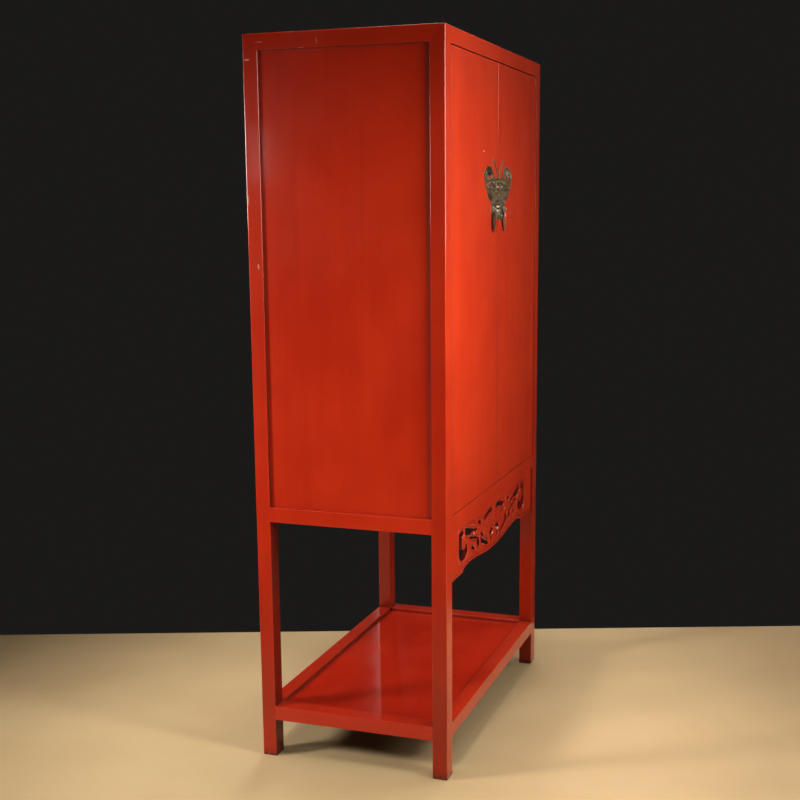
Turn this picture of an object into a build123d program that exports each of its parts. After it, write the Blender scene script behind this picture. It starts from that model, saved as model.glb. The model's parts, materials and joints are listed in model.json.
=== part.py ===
from build123d import *
import os

os.makedirs("parts", exist_ok=True)

# ---------------------------------------------------------------------------
# Driving dimensions, millimetres.
# +X is to the right across the front, +Y runs from the front to the back,
# +Z is up.  The doors and the carved apron face -Y.
# ---------------------------------------------------------------------------
WIDTH = 924.0            # overall, across the front
DEPTH = 515.0            # posts, front face to back face
HEIGHT = 1850.0          # floor to the top
POST_X = 45.0            # post section across the front
POST_Y = 39.0            # post section front to back
EASE = 3.0               # rounding of the outer edges

TOP_UNDER = 1810.0       # underside of the top frame
LOW_TOP = 680.0          # top of the rails under the doors and sides
LOW_BOT = 641.0
SHELF_TOP = 140.0        # rails of the open shelf
SHELF_BOT = 102.0

RECESS = 8.0             # side and back panels sit this deep in their frames
PANEL = 10.0             # thickness of those panels
GROOVE = 7.0             # how far a panel's edge reaches into post or rail

TENON_T = 12.0
TENON_L = 22.0

DOOR_T = 20.0
DOOR_BACKSET = 0.5       # door face behind the posts' face
DOOR_BOT = 682.0
DOOR_TOP = 1807.5
DOOR_GAP = 1.2           # between door edge and post
MEET_GAP = 0.75          # half of the gap between the doors
STILE_W = 58.0
PIVOT_IN = 8.5           # pivot axis from the door's outer edge and face
PIVOT_R = 5.5
PIVOT_PLAY = 0.05

HARDWARE_OUT = 16.0      # how far the lock lugs stand out of the door face

APRON_BACKSET = 7.0
APRON_T = 11.0

# The hardware stands in front of the posts, so the middle of the whole
# object is a little in front of the middle of the posts.
FRONT = -(DEPTH - DOOR_BACKSET + HARDWARE_OUT) / 2 + HARDWARE_OUT - DOOR_BACKSET

HALF = WIDTH / 2
POST_IN = HALF - POST_X          # inner face of the posts, across
BACK_IN = DEPTH - POST_Y         # inner face of the back posts, from the front

DOOR_EDGE = POST_IN - DOOR_GAP                 # door's outer edge, from the middle
PIVOT_X = DOOR_EDGE - PIVOT_IN
PIVOT_Y = DOOR_BACKSET + PIVOT_IN              # from the front face
FACE_Y = DOOR_BACKSET                          # door face, from the front face
BACK_Y = DOOR_BACKSET + DOOR_T


def y_at(from_front):
    """Row coordinate of a plane a distance behind the posts' front face."""
    return FRONT + from_front


def timber(x0, x1, y0, y1, z0, z1, mode=Mode.ADD):
    """A squared length of timber between two corners, y from the front face."""
    with BuildSketch(Plane.XY.offset(z0)) as section:
        with Locations(((x0 + x1) / 2, y_at((y0 + y1) / 2))):
            Rectangle(x1 - x0, y1 - y0)
    extrude(section.sketch, amount=z1 - z0, mode=mode)


def along(part, axis, **where):
    """Edges of a part parallel to an axis that pass through given coordinates."""
    def hit(edge):
        c = edge.center()
        return all(abs(getattr(c, k) - v) < 0.2 for k, v in where.items())
    return part.edges().filter_by(axis).filter_by(hit)


def ease_upright(x, y, inward_x, inward_y, z0, z1, r):
    """Rounds one upright corner of a post over a stretch of its height."""
    with BuildSketch(Plane.XY.offset(z0)) as nib:
        with Locations((x + inward_x * r / 2, y_at(y) + inward_y * r / 2)):
            Rectangle(r, r)
        with Locations((x + inward_x * r, y_at(y) + inward_y * r)):
            Circle(r, mode=Mode.SUBTRACT)
    extrude(nib.sketch, amount=z1 - z0, mode=Mode.SUBTRACT)


def write(builder, label):
    builder.part.label = label
    export_step(builder.part, f"parts/{label}.step")


# ---------------------------------------------------------------------------
# Outer block of the carcass.  Every timber that shows on an outside corner is
# cut from it, so the easing runs on across the joints.
# ---------------------------------------------------------------------------
with BuildPart() as block:
    timber(-HALF, HALF, 0, DEPTH, 0, HEIGHT)
    fillet(block.edges(), EASE)

# Three-way mitre at the front left top corner.  u, v and w run from 0 at the
# outer corner to 1 at the inner faces of post and rails.
CORNER = (-HALF, y_at(0), HEIGHT)
U = Vector(1 / POST_X, 0, 0)
V = Vector(0, 1 / POST_Y, 0)
W = Vector(0, 0, -1 / (HEIGHT - TOP_UNDER))


def mitre(keep, against, origin=CORNER):
    """Splitting plane: the side where `keep` is the larger is kept."""
    return Plane(origin=origin, z_dir=keep - against)


def side_panel_space(mode):
    timber(-HALF + RECESS, -HALF + RECESS + PANEL, POST_Y - GROOVE, BACK_IN + GROOVE,
           LOW_TOP - GROOVE, TOP_UNDER + GROOVE, mode=mode)


def back_panel_space(mode):
    timber(-POST_IN - GROOVE, -25 + GROOVE, DEPTH - RECESS - PANEL, DEPTH - RECESS,
           LOW_TOP - GROOVE, TOP_UNDER + GROOVE, mode=mode)
    timber(25 - GROOVE, POST_IN + GROOVE, DEPTH - RECESS - PANEL, DEPTH - RECESS,
           LOW_TOP - GROOVE, TOP_UNDER + GROOVE, mode=mode)


def tenon_spaces(mode, z_low, z_high, y_inset=14.0):
    """Tenons of one storey of rails in the left posts: long rails, then side rail."""
    timber(-POST_IN - TENON_L, -POST_IN, y_inset, y_inset + TENON_T, z_low, z_high, mode=mode)
    timber(-POST_IN - TENON_L, -POST_IN, DEPTH - y_inset - TENON_T, DEPTH - y_inset,
           z_low, z_high, mode=mode)
    timber(-HALF + 10, -HALF + 10 + TENON_T, POST_Y - 20, POST_Y, z_low, z_high, mode=mode)
    timber(-HALF + 10, -HALF + 10 + TENON_T, BACK_IN, BACK_IN + 20, z_low, z_high, mode=mode)


def apron_tongue(mode):
    timber(-POST_IN - 6, -POST_IN, APRON_BACKSET + 3, APRON_BACKSET + APRON_T - 3,
           512, LOW_BOT - 6, mode=mode)


# ---------------------------------------------------------------------------
# Posts
# ---------------------------------------------------------------------------
with BuildPart() as front_left_post:
    timber(-HALF, -POST_IN, 0, POST_Y, 0, HEIGHT)
    add(block.part, mode=Mode.INTERSECT)
    split(bisect_by=mitre(W, U), keep=Keep.TOP)
    split(bisect_by=mitre(W, V), keep=Keep.TOP)
    side_panel_space(Mode.SUBTRACT)
    tenon_spaces(Mode.SUBTRACT, LOW_BOT + 5, LOW_TOP - 5 - GROOVE)
    tenon_spaces(Mode.SUBTRACT, SHELF_BOT + 5, SHELF_TOP - 5)
    apron_tongue(Mode.SUBTRACT)
    # door opening, side panel frame and leg stretches
    ease_upright(-POST_IN, 0, -1, 1, LOW_TOP, TOP_UNDER, 0.7)
    ease_upright(-POST_IN, 0, -1, 1, SHELF_TOP, LOW_BOT, 1.6)
    ease_upright(-POST_IN, 0, -1, 1, 0, SHELF_BOT, 1.6)
    ease_upright(-HALF, POST_Y, 1, -1, LOW_TOP, TOP_UNDER, 2.4)
    ease_upright(-HALF, POST_Y, 1, -1, SHELF_TOP, LOW_BOT, 1.6)
    ease_upright(-HALF, POST_Y, 1, -1, 0, SHELF_BOT, 1.6)
    ease_upright(-POST_IN, POST_Y, -1, -1, SHELF_TOP, LOW_BOT, 1.6)
    ease_upright(-POST_IN, POST_Y, -1, -1, 0, SHELF_BOT, 1.6)
write(front_left_post, "front_left_post")

with BuildPart() as front_right_post:
    mirror(front_left_post.part, about=Plane.YZ)
write(front_right_post, "front_right_post")

BACK_CORNER = (-HALF, y_at(DEPTH), HEIGHT)
with BuildPart() as back_left_post:
    timber(-HALF, -POST_IN, BACK_IN, DEPTH, 0, HEIGHT)
    add(block.part, mode=Mode.INTERSECT)
    split(bisect_by=mitre(W, U, BACK_CORNER), keep=Keep.TOP)
    split(bisect_by=mitre(W, -V, BACK_CORNER), keep=Keep.TOP)
    side_panel_space(Mode.SUBTRACT)
    back_panel_space(Mode.SUBTRACT)
    tenon_spaces(Mode.SUBTRACT, LOW_BOT + 5, LOW_TOP - 5 - GROOVE)
    tenon_spaces(Mode.SUBTRACT, SHELF_BOT + 5, SHELF_TOP - 5)
    ease_upright(-HALF, BACK_IN, 1, 1, LOW_TOP, TOP_UNDER, 2.4)
    ease_upright(-HALF, BACK_IN, 1, 1, SHELF_TOP, LOW_BOT, 1.6)
    ease_upright(-HALF, BACK_IN, 1, 1, 0, SHELF_BOT, 1.6)
    ease_upright(-POST_IN, DEPTH, -1, -1, LOW_TOP, TOP_UNDER, 1.6)
    ease_upright(-POST_IN, DEPTH, -1, -1, SHELF_TOP, LOW_BOT, 1.6)
    ease_upright(-POST_IN, DEPTH, -1, -1, 0, SHELF_BOT, 1.6)
    ease_upright(-POST_IN, BACK_IN, -1, 1, SHELF_TOP, LOW_BOT, 1.6)
    ease_upright(-POST_IN, BACK_IN, -1, 1, 0, SHELF_BOT, 1.6)
write(back_left_post, "back_left_post")

with BuildPart() as back_right_post:
    mirror(back_left_post.part, about=Plane.YZ)
write(back_right_post, "back_right_post")

# ---------------------------------------------------------------------------
# Top frame, flush panel and its batten
# ---------------------------------------------------------------------------
TOP_PANEL_Z = HEIGHT - 0.8      # the panel's face, a hair under the frame


def top_panel_space(mode):
    timber(-POST_IN - GROOVE, POST_IN + GROOVE, POST_Y - GROOVE, BACK_IN + GROOVE,
           HEIGHT - 11, HEIGHT - 5, mode=mode)


def top_batten_space(mode):
    timber(-18, 18, POST_Y - 8, BACK_IN + 8, 1822, 1834, mode=mode)


def door_sockets(mode, z0, z1):
    with BuildSketch(Plane.XY.offset(z0)) as holes:
        with Locations((-PIVOT_X, y_at(PIVOT_Y)), (PIVOT_X, y_at(PIVOT_Y))):
            Circle(PIVOT_R + PIVOT_PLAY)
    extrude(holes.sketch, amount=z1 - z0, mode=mode)


with BuildPart() as top_front_rail:
    timber(-HALF, HALF, 0, POST_Y, TOP_UNDER, HEIGHT)
    add(block.part, mode=Mode.INTERSECT)
    split(bisect_by=mitre(U, W), keep=Keep.TOP)
    split(bisect_by=mitre(U, V), keep=Keep.TOP)
    split(bisect_by=mitre(-U, W, (HALF, y_at(0), HEIGHT)), keep=Keep.TOP)
    split(bisect_by=mitre(-U, V, (HALF, y_at(0), HEIGHT)), keep=Keep.TOP)
    # stop that the doors close against, behind their top edge
    timber(-396, 396, BACK_Y + 0.5, POST_Y, TOP_UNDER - 10, TOP_UNDER)
    top_panel_space(Mode.SUBTRACT)
    top_batten_space(Mode.SUBTRACT)
    door_sockets(Mode.SUBTRACT, TOP_UNDER, TOP_UNDER + 15)
write(top_front_rail, "top_front_rail")

with BuildPart() as top_back_rail:
    timber(-HALF, HALF, BACK_IN, DEPTH, TOP_UNDER, HEIGHT)
    add(block.part, mode=Mode.INTERSECT)
    split(bisect_by=mitre(U, W, BACK_CORNER), keep=Keep.TOP)
    split(bisect_by=mitre(U, -V, BACK_CORNER), keep=Keep.TOP)
    split(bisect_by=mitre(-U, W, (HALF, y_at(DEPTH), HEIGHT)), keep=Keep.TOP)
    split(bisect_by=mitre(-U, -V, (HALF, y_at(DEPTH), HEIGHT)), keep=Keep.TOP)
    top_panel_space(Mode.SUBTRACT)
    top_batten_space(Mode.SUBTRACT)
    back_panel_space(Mode.SUBTRACT)
    timber(-15, 15, DEPTH - 21, DEPTH - 9, TOP_UNDER, TOP_UNDER + 14, mode=Mode.SUBTRACT)
write(top_back_rail, "top_back_rail")

with BuildPart() as top_left_rail:
    timber(-HALF, -POST_IN, 0, DEPTH, TOP_UNDER, HEIGHT)
    add(block.part, mode=Mode.INTERSECT)
    split(bisect_by=mitre(V, U), keep=Keep.TOP)
    split(bisect_by=mitre(V, W), keep=Keep.TOP)
    split(bisect_by=mitre(-V, U, BACK_CORNER), keep=Keep.TOP)
    split(bisect_by=mitre(-V, W, BACK_CORNER), keep=Keep.TOP)
    top_panel_space(Mode.SUBTRACT)
    side_panel_space(Mode.SUBTRACT)
    fillet(along(top_left_rail, Axis.Y, X=-HALF, Z=TOP_UNDER), 2.0)
write(top_left_rail, "top_left_rail")

with BuildPart() as top_right_rail:
    mirror(top_left_rail.part, about=Plane.YZ)
write(top_right_rail, "top_right_rail")

with BuildPart() as top_panel:
    timber(-POST_IN, POST_IN, POST_Y, BACK_IN, HEIGHT - 15, TOP_PANEL_Z)
    top_panel_space(Mode.ADD)
write(top_panel, "top_panel")

with BuildPart() as top_batten:
    timber(-18, 18, POST_Y, BACK_IN, 1817, HEIGHT - 15)
    top_batten_space(Mode.ADD)
write(top_batten, "top_batten")

# ---------------------------------------------------------------------------
# Rails under the closed compartment
# ---------------------------------------------------------------------------
LOW_SIDE = 32.0          # thickness of the side rails


def floor_space(mode):
    timber(-HALF + LOW_SIDE - 6, HALF - LOW_SIDE + 6, POST_Y, BACK_IN, 664, 676, mode=mode)
    timber(-POST_IN, POST_IN, POST_Y - 6, BACK_IN + 6, 664, 676, mode=mode)


def floor_batten_space(mode):
    timber(-18, 18, POST_Y - 8, BACK_IN + 8, 649, 659, mode=mode)


with BuildPart() as front_lower_rail:
    timber(-POST_IN, POST_IN, 0, POST_Y, LOW_BOT, LOW_TOP)
    fillet(along(front_lower_rail, Axis.X, Y=y_at(0), Z=LOW_TOP), 0.7)
    # stop behind the doors' lower edge
    timber(-396, 396, BACK_Y + 0.5, POST_Y, LOW_TOP, LOW_TOP + 8)
    # tenons into the posts
    timber(-POST_IN - TENON_L, POST_IN + TENON_L, 14, 14 + TENON_T,
           LOW_BOT + 5, LOW_TOP - 5 - GROOVE)
    floor_space(Mode.SUBTRACT)
    floor_batten_space(Mode.SUBTRACT)
    door_sockets(Mode.SUBTRACT, LOW_TOP - 10.3, LOW_TOP)
    # groove for the apron's upper tongue
    timber(-POST_IN, POST_IN, APRON_BACKSET + 3, APRON_BACKSET + APRON_T - 3,
           LOW_BOT, LOW_BOT + 4, mode=Mode.SUBTRACT)
write(front_lower_rail, "front_lower_rail")

with BuildPart() as back_lower_rail:
    timber(-POST_IN, POST_IN, BACK_IN, DEPTH, LOW_BOT, LOW_TOP)
    fillet(along(back_lower_rail, Axis.X, Y=y_at(DEPTH), Z=LOW_TOP), 1.6)
    fillet(along(back_lower_rail, Axis.X, Y=y_at(DEPTH), Z=LOW_BOT), 1.6)
    timber(-POST_IN - TENON_L, POST_IN + TENON_L, DEPTH - 14 - TENON_T, DEPTH - 14,
           LOW_BOT + 5, LOW_TOP - 5 - GROOVE)
    floor_space(Mode.SUBTRACT)
    floor_batten_space(Mode.SUBTRACT)
    back_panel_space(Mode.SUBTRACT)
    timber(-15, 15, DEPTH - 21, DEPTH - 9, LOW_TOP - 14, LOW_TOP, mode=Mode.SUBTRACT)
write(back_lower_rail, "back_lower_rail")

with BuildPart() as left_lower_rail:
    timber(-HALF, -HALF + LOW_SIDE, POST_Y, BACK_IN, LOW_BOT, LOW_TOP)
    fillet(along(left_lower_rail, Axis.Y, X=-HALF, Z=LOW_TOP), 2.4)
    fillet(along(left_lower_rail, Axis.Y, X=-HALF, Z=LOW_BOT), 1.6)
    timber(-HALF + 10, -HALF + 10 + TENON_T, POST_Y - 20, BACK_IN + 20,
           LOW_BOT + 5, LOW_TOP - 5 - GROOVE)
    side_panel_space(Mode.SUBTRACT)
    floor_space(Mode.SUBTRACT)
write(left_lower_rail, "left_lower_rail")

with BuildPart() as right_lower_rail:
    mirror(left_lower_rail.part, about=Plane.YZ)
write(right_lower_rail, "right_lower_rail")

with BuildPart() as floor_panel:
    floor_space(Mode.ADD)
write(floor_panel, "floor_panel")

with BuildPart() as floor_batten:
    timber(-18, 18, POST_Y, BACK_IN, 646, 664)
    floor_batten_space(Mode.ADD)
write(floor_batten, "floor_batten")

# ---------------------------------------------------------------------------
# Side and back panels
# ---------------------------------------------------------------------------
with BuildPart() as left_side_panel:
    side_panel_space(Mode.ADD)
write(left_side_panel, "left_side_panel")

with BuildPart() as right_side_panel:
    mirror(left_side_panel.part, about=Plane.YZ)
write(right_side_panel, "right_side_panel")

with BuildPart() as back_centre_stile:
    timber(-25, 25, DEPTH - 30, DEPTH, LOW_TOP, TOP_UNDER)
    fillet(along(back_centre_stile, Axis.Z, Y=y_at(DEPTH)), 1.6)
    back_panel_space(Mode.SUBTRACT)
    timber(-15, 15, DEPTH - 21, DEPTH - 9, LOW_TOP - 14, TOP_UNDER + 14)
write(back_centre_stile, "back_centre_stile")

with BuildPart() as back_left_panel:
    timber(-POST_IN - GROOVE, -25 + GROOVE, DEPTH - RECESS - PANEL, DEPTH - RECESS,
           LOW_TOP - GROOVE, TOP_UNDER + GROOVE)
write(back_left_panel, "back_left_panel")

with BuildPart() as back_right_panel:
    mirror(back_left_panel.part, about=Plane.YZ)
write(back_right_panel, "back_right_panel")

# ---------------------------------------------------------------------------
# Carved apron under the doors.  The openings are given for the right half as
# (distance from the middle, height) and mirrored.
# ---------------------------------------------------------------------------
APRON_END = 503.0
APRON_STEP = [(303.0, 503.0), (298.0, 504.5), (292.0, 509.0), (285.0, 512.5)]
APRON_WAVE = [(285.0, 512.5), (250.0, 515.5), (205.0, 514.5), (157.0, 510.5), (88.0, 502.5)]
OPENINGS = [
    # hook at the end
    [(332, 611), (318, 614), (297, 613), (291, 605), (303, 600), (308, 590), (307, 576),
     (302, 567), (291, 562), (281, 563), (276, 570), (267, 573), (260, 566), (261, 550),
     (276, 539), (300, 536), (321, 540), (332, 551), (335, 574), (334, 596)],
    # long leaf above, with a vein of wood left under it
    [(280, 612), (262, 613), (238, 607), (212, 600), (188, 594), (170, 589), (173, 584),
     (190, 587), (205, 590), (222, 590), (238, 588), (256, 592), (277, 600)],
    [(240, 581), (226, 581), (208, 577), (190, 572), (172, 568), (170, 563), (186, 565),
     (206, 569), (226, 574), (240, 577)],
    # bud between the leaves
    [(158, 606), (146, 607), (134, 602), (132, 595), (144, 596), (157, 600)],
    # small cuts over the rim
    [(220, 553), (208, 551), (194, 544), (190, 538), (202, 539), (216, 545), (222, 549)],
    [(170, 562), (161, 565), (151, 558), (148, 546), (152, 537), (163, 538), (171, 548)],
    [(134, 568), (122, 566), (110, 560), (104, 554), (116, 555), (130, 561)],
    [(134, 556), (122, 556), (104, 546), (86, 536), (64, 526), (62, 520), (80, 523),
     (100, 529), (120, 536), (135, 545)],
    [(46, 551), (34, 555), (20, 557), (12, 551), (18, 544), (30, 541), (42, 543)],
    [(35, 533), (28, 535), (24, 528), (27, 519), (34, 522)],
    # over the middle flower
    [(102, 603), (84, 609), (60, 613), (36, 615), (20, 612), (17, 605), (34, 603),
     (56, 601), (80, 596), (98, 595)],
]

with BuildPart() as front_apron:
    with BuildSketch(Plane.XZ.offset(-y_at(APRON_BACKSET + APRON_T))) as outline:
        with BuildLine():
            Polyline((-303, APRON_END), (-POST_IN, APRON_END), (-POST_IN, LOW_BOT),
                     (POST_IN, LOW_BOT), (POST_IN, APRON_END), (303, APRON_END))
            Spline(*APRON_STEP)
            Spline(*[(-u, v) for u, v in APRON_STEP])
            Spline(*APRON_WAVE, (0, 498.5), *[(-u, v) for u, v in reversed(APRON_WAVE)])
        make_face()
    extrude(amount=APRON_T)
    for loop in OPENINGS:
        for side in (1, -1):
            with BuildSketch(Plane.XZ.offset(-y_at(APRON_BACKSET + APRON_T))) as hole:
                with BuildLine():
                    Spline(*[(side * u, v) for u, v in loop], periodic=True)
                make_face()
            extrude(hole.sketch, amount=APRON_T, mode=Mode.SUBTRACT)
    # tongues into the posts and up into the sill
    timber(-POST_IN - 6, -POST_IN, APRON_BACKSET + 3, APRON_BACKSET + APRON_T - 3,
           512, LOW_BOT - 6)
    timber(POST_IN, POST_IN + 6, APRON_BACKSET + 3, APRON_BACKSET + APRON_T - 3,
           512, LOW_BOT - 6)
    timber(-POST_IN, POST_IN, APRON_BACKSET + 3, APRON_BACKSET + APRON_T - 3,
           LOW_BOT, LOW_BOT + 4)
write(front_apron, "front_apron")

# ---------------------------------------------------------------------------
# Open shelf between the legs
# ---------------------------------------------------------------------------
def shelf_space(mode):
    timber(-POST_IN - 6, POST_IN + 6, POST_Y, BACK_IN, 121, 128, mode=mode)
    timber(-POST_IN, POST_IN, POST_Y - 6, BACK_IN + 6, 121, 128, mode=mode)


def shelf_batten_spaces(mode):
    timber(-170, -134, POST_Y - 8, BACK_IN + 8, 107, 117, mode=mode)
    timber(134, 170, POST_Y - 8, BACK_IN + 8, 107, 117, mode=mode)


with BuildPart() as shelf_front_rail:
    timber(-POST_IN, POST_IN, 0, POST_Y, SHELF_BOT, SHELF_TOP)
    fillet(shelf_front_rail.edges().filter_by(Axis.X), 1.6)
    timber(-POST_IN - TENON_L, POST_IN + TENON_L, 14, 14 + TENON_T,
           SHELF_BOT + 5, SHELF_TOP - 5)
    shelf_space(Mode.SUBTRACT)
    shelf_batten_spaces(Mode.SUBTRACT)
write(shelf_front_rail, "shelf_front_rail")

with BuildPart() as shelf_back_rail:
    timber(-POST_IN, POST_IN, BACK_IN, DEPTH, SHELF_BOT, SHELF_TOP)
    fillet(shelf_back_rail.edges().filter_by(Axis.X), 1.6)
    timber(-POST_IN - TENON_L, POST_IN + TENON_L, DEPTH - 14 - TENON_T, DEPTH - 14,
           SHELF_BOT + 5, SHELF_TOP - 5)
    shelf_space(Mode.SUBTRACT)
    shelf_batten_spaces(Mode.SUBTRACT)
write(shelf_back_rail, "shelf_back_rail")

with BuildPart() as shelf_left_rail:
    timber(-HALF, -POST_IN, POST_Y, BACK_IN, SHELF_BOT, SHELF_TOP)
    fillet(shelf_left_rail.edges().filter_by(Axis.Y), 1.6)
    timber(-HALF + 10, -HALF + 10 + TENON_T, POST_Y - 20, BACK_IN + 20,
           SHELF_BOT + 5, SHELF_TOP - 5)
    shelf_space(Mode.SUBTRACT)
write(shelf_left_rail, "shelf_left_rail")

with BuildPart() as shelf_right_rail:
    mirror(shelf_left_rail.part, about=Plane.YZ)
write(shelf_right_rail, "shelf_right_rail")

with BuildPart() as shelf_panel:
    timber(-POST_IN, POST_IN, POST_Y, BACK_IN, 117, 131)
    shelf_space(Mode.ADD)
write(shelf_panel, "shelf_panel")

with BuildPart() as shelf_left_batten:
    timber(-170, -134, POST_Y, BACK_IN, 104, 117)
    timber(-170, -134, POST_Y - 8, BACK_IN + 8, 107, 117)
write(shelf_left_batten, "shelf_left_batten")

with BuildPart() as shelf_right_batten:
    mirror(shelf_left_batten.part, about=Plane.YZ)
write(shelf_right_batten, "shelf_right_batten")

# ---------------------------------------------------------------------------
# Fixed shelves behind the doors, each on two cleats
# ---------------------------------------------------------------------------
SIDE_IN = HALF - RECESS - PANEL       # inner face of the side panels
for name, z in (("lower", 1045.0), ("upper", 1415.0)):
    with BuildPart() as inner_shelf:
        timber(-SIDE_IN + 2, SIDE_IN - 2, 44, 472, z, z + 16)
        fillet(along(inner_shelf, Axis.X, Y=y_at(44)), 1.5)
    write(inner_shelf, f"{name}_inner_shelf")
    with BuildPart() as left_cleat:
        timber(-SIDE_IN, -SIDE_IN + 20, POST_Y, BACK_IN, z - 22, z)
        fillet(along(left_cleat, Axis.Y, X=-SIDE_IN + 20, Z=z - 22), 3)
    write(left_cleat, f"{name}_shelf_left_cleat")
    with BuildPart() as right_cleat:
        mirror(left_cleat.part, about=Plane.YZ)
    write(right_cleat, f"{name}_shelf_right_cleat")

# ---------------------------------------------------------------------------
# Left door.  The outer stile carries the round wooden pivots.
# ---------------------------------------------------------------------------
STILE_IN = DOOR_EDGE - STILE_W        # joint between stile and board
SEAM_T = 6.0                          # tongue of the board in the stile
BATTEN_Z = (780.0, 1670.0)            # lower edges of the two battens
BATTEN_H = 50.0
BATTEN_X0, BATTEN_X1 = -STILE_IN - 20, -70.0

LUG_X, LUG_Z = 10.0, 1447.0
PULL_X, PULL_Z = 53.0, 1430.0
PLATE_T = 2.0
PLATE_FACE = FACE_Y - PLATE_T


def seam_space(mode):
    timber(-STILE_IN - 8, -STILE_IN, FACE_Y + 7, FACE_Y + 7 + SEAM_T,
           DOOR_BOT + 30, DOOR_TOP - 30, mode=mode)


def batten_keys(mode):
    """Dovetail keys of the battens, let 5 mm into the back of the door."""
    for z in BATTEN_Z:
        with BuildSketch(Plane.YZ.offset(BATTEN_X0)) as tail:
            with BuildLine():
                Polyline((y_at(BACK_Y), z + 9), (y_at(BACK_Y - 5), z + 6),
                         (y_at(BACK_Y - 5), z + BATTEN_H - 6), (y_at(BACK_Y), z + BATTEN_H - 9),
                         (y_at(BACK_Y), z + 9))
            make_face()
        extrude(tail.sketch, amount=BATTEN_X1 - BATTEN_X0, mode=mode)


def bore(x, z, r, y0, y1, mode):
    """A round hole or shank through the door, square to its face."""
    with BuildSketch(Plane.XZ.offset(-y_at(y1))) as disc:
        with Locations((x, z)):
            Circle(r)
    extrude(disc.sketch, amount=y1 - y0, mode=mode)


PIN_SPOTS = [(-51, 1499), (-101, 1486), (-121, 1522), (-34, 1412)]
PIN_R = 0.8
SHANK_R = 2.5

with BuildPart() as left_door_pivot_stile:
    timber(-DOOR_EDGE, -STILE_IN, FACE_Y, BACK_Y, DOOR_BOT, DOOR_TOP)
    fillet(along(left_door_pivot_stile, Axis.Z, X=-DOOR_EDGE, Y=y_at(FACE_Y)), 7.0)
    fillet(along(left_door_pivot_stile, Axis.Z, X=-DOOR_EDGE, Y=y_at(BACK_Y)), 2.0)
    with BuildSketch(Plane.XY.offset(DOOR_BOT - 12)):
        with Locations((-PIVOT_X, y_at(PIVOT_Y))):
            Circle(PIVOT_R)
    extrude(amount=12)
    with BuildSketch(Plane.XY.offset(DOOR_TOP)):
        with Locations((-PIVOT_X, y_at(PIVOT_Y))):
            Circle(PIVOT_R)
    extrude(amount=16)
    seam_space(Mode.SUBTRACT)
    batten_keys(Mode.SUBTRACT)
write(left_door_pivot_stile, "left_door_pivot_stile")

with BuildPart() as left_door_board:
    timber(-STILE_IN, -MEET_GAP, FACE_Y, BACK_Y, DOOR_BOT, DOOR_TOP)
    fillet(along(left_door_board, Axis.Z, X=-MEET_GAP), 1.0)
    seam_space(Mode.ADD)
    batten_keys(Mode.SUBTRACT)
    bore(-LUG_X, LUG_Z, SHANK_R, FACE_Y, BACK_Y, Mode.SUBTRACT)
    bore(-PULL_X, PULL_Z, SHANK_R, FACE_Y, BACK_Y, Mode.SUBTRACT)
    for px, pz in PIN_SPOTS:
        bore(px, pz, PIN_R, FACE_Y, FACE_Y + 9, Mode.SUBTRACT)
write(left_door_board, "left_door_board")

for z, name in zip(BATTEN_Z, ("lower", "upper")):
    with BuildPart() as left_door_batten:
        timber(BATTEN_X0, BATTEN_X1, BACK_Y, BACK_Y + 17, z, z + BATTEN_H)
        fillet(left_door_batten.edges().filter_by(Axis.X).group_by(Axis.Y)[-1], 4.0)
        with BuildSketch(Plane.YZ.offset(BATTEN_X0)) as key:
            with BuildLine():
                Polyline((y_at(BACK_Y), z + 9), (y_at(BACK_Y - 5), z + 6),
                         (y_at(BACK_Y - 5), z + BATTEN_H - 6), (y_at(BACK_Y), z + BATTEN_H - 9),
                         (y_at(BACK_Y), z + 9))
            make_face()
        extrude(key.sketch, amount=BATTEN_X1 - BATTEN_X0)
    write(left_door_batten, f"left_door_{name}_batten")
    with BuildPart() as right_door_batten:
        mirror(left_door_batten.part, about=Plane.YZ)
    write(right_door_batten, f"right_door_{name}_batten")

with BuildPart() as right_door_pivot_stile:
    mirror(left_door_pivot_stile.part, about=Plane.YZ)
write(right_door_pivot_stile, "right_door_pivot_stile")

with BuildPart() as right_door_board:
    mirror(left_door_board.part, about=Plane.YZ)
write(right_door_board, "right_door_board")

# ---------------------------------------------------------------------------
# Butterfly lock plate, left half.  Outlines as (distance from the middle, z),
# in stretches that meet at the sharp points of the wings.
# ---------------------------------------------------------------------------
LOWER_WING = [
    (0.9, 1402.0), (9.0, 1400.5), (17.0, 1406.0), (24.0, 1399.5), (33.0, 1396.0),
    (42.0, 1401.0), (50.0, 1407.5), (59.0, 1411.0), (66.5, 1419.0), (69.5, 1431.0),
    (68.5, 1442.0), (66.0, 1450.0),
]
WING_UNDER = [
    (66.0, 1450.0), (80.0, 1451.5), (94.0, 1457.5), (105.0, 1466.5), (114.0, 1477.0),
    (123.0, 1486.0), (130.0, 1498.0), (136.0, 1511.0), (144.0, 1519.0),
]
WING_OVER = [
    (144.0, 1519.0), (132.0, 1524.0), (120.0, 1532.0), (106.0, 1538.5), (90.0, 1541.0),
    (75.0, 1541.0), (62.0, 1537.5), (54.0, 1529.0), (47.0, 1519.5), (37.0, 1513.0),
    (24.0, 1510.5), (12.0, 1512.0), (0.9, 1511.0),
]
WING_HOLES = [  # pierced eyes: centre, half length, half width, tilt
    (103.0, 1511.0, 13.0, 4.2, -24.0), (73.0, 1513.0, 9.0, 3.8, -34.0),
    (115.0, 1495.0, 8.0, 3.4, 58.0), (84.0, 1496.0, 9.0, 3.4, -20.0),
    (89.0, 1473.0, 8.0, 3.2, 35.0),
]
FEELER = [(2.5, 1510.0), (12.0, 1521.5), (24.0, 1535.0), (36.0, 1547.0), (47.0, 1555.0)]
FEELER_W = 5.2
FEELER_KNOB = (49.0, 1554.5, 4.8)
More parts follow.
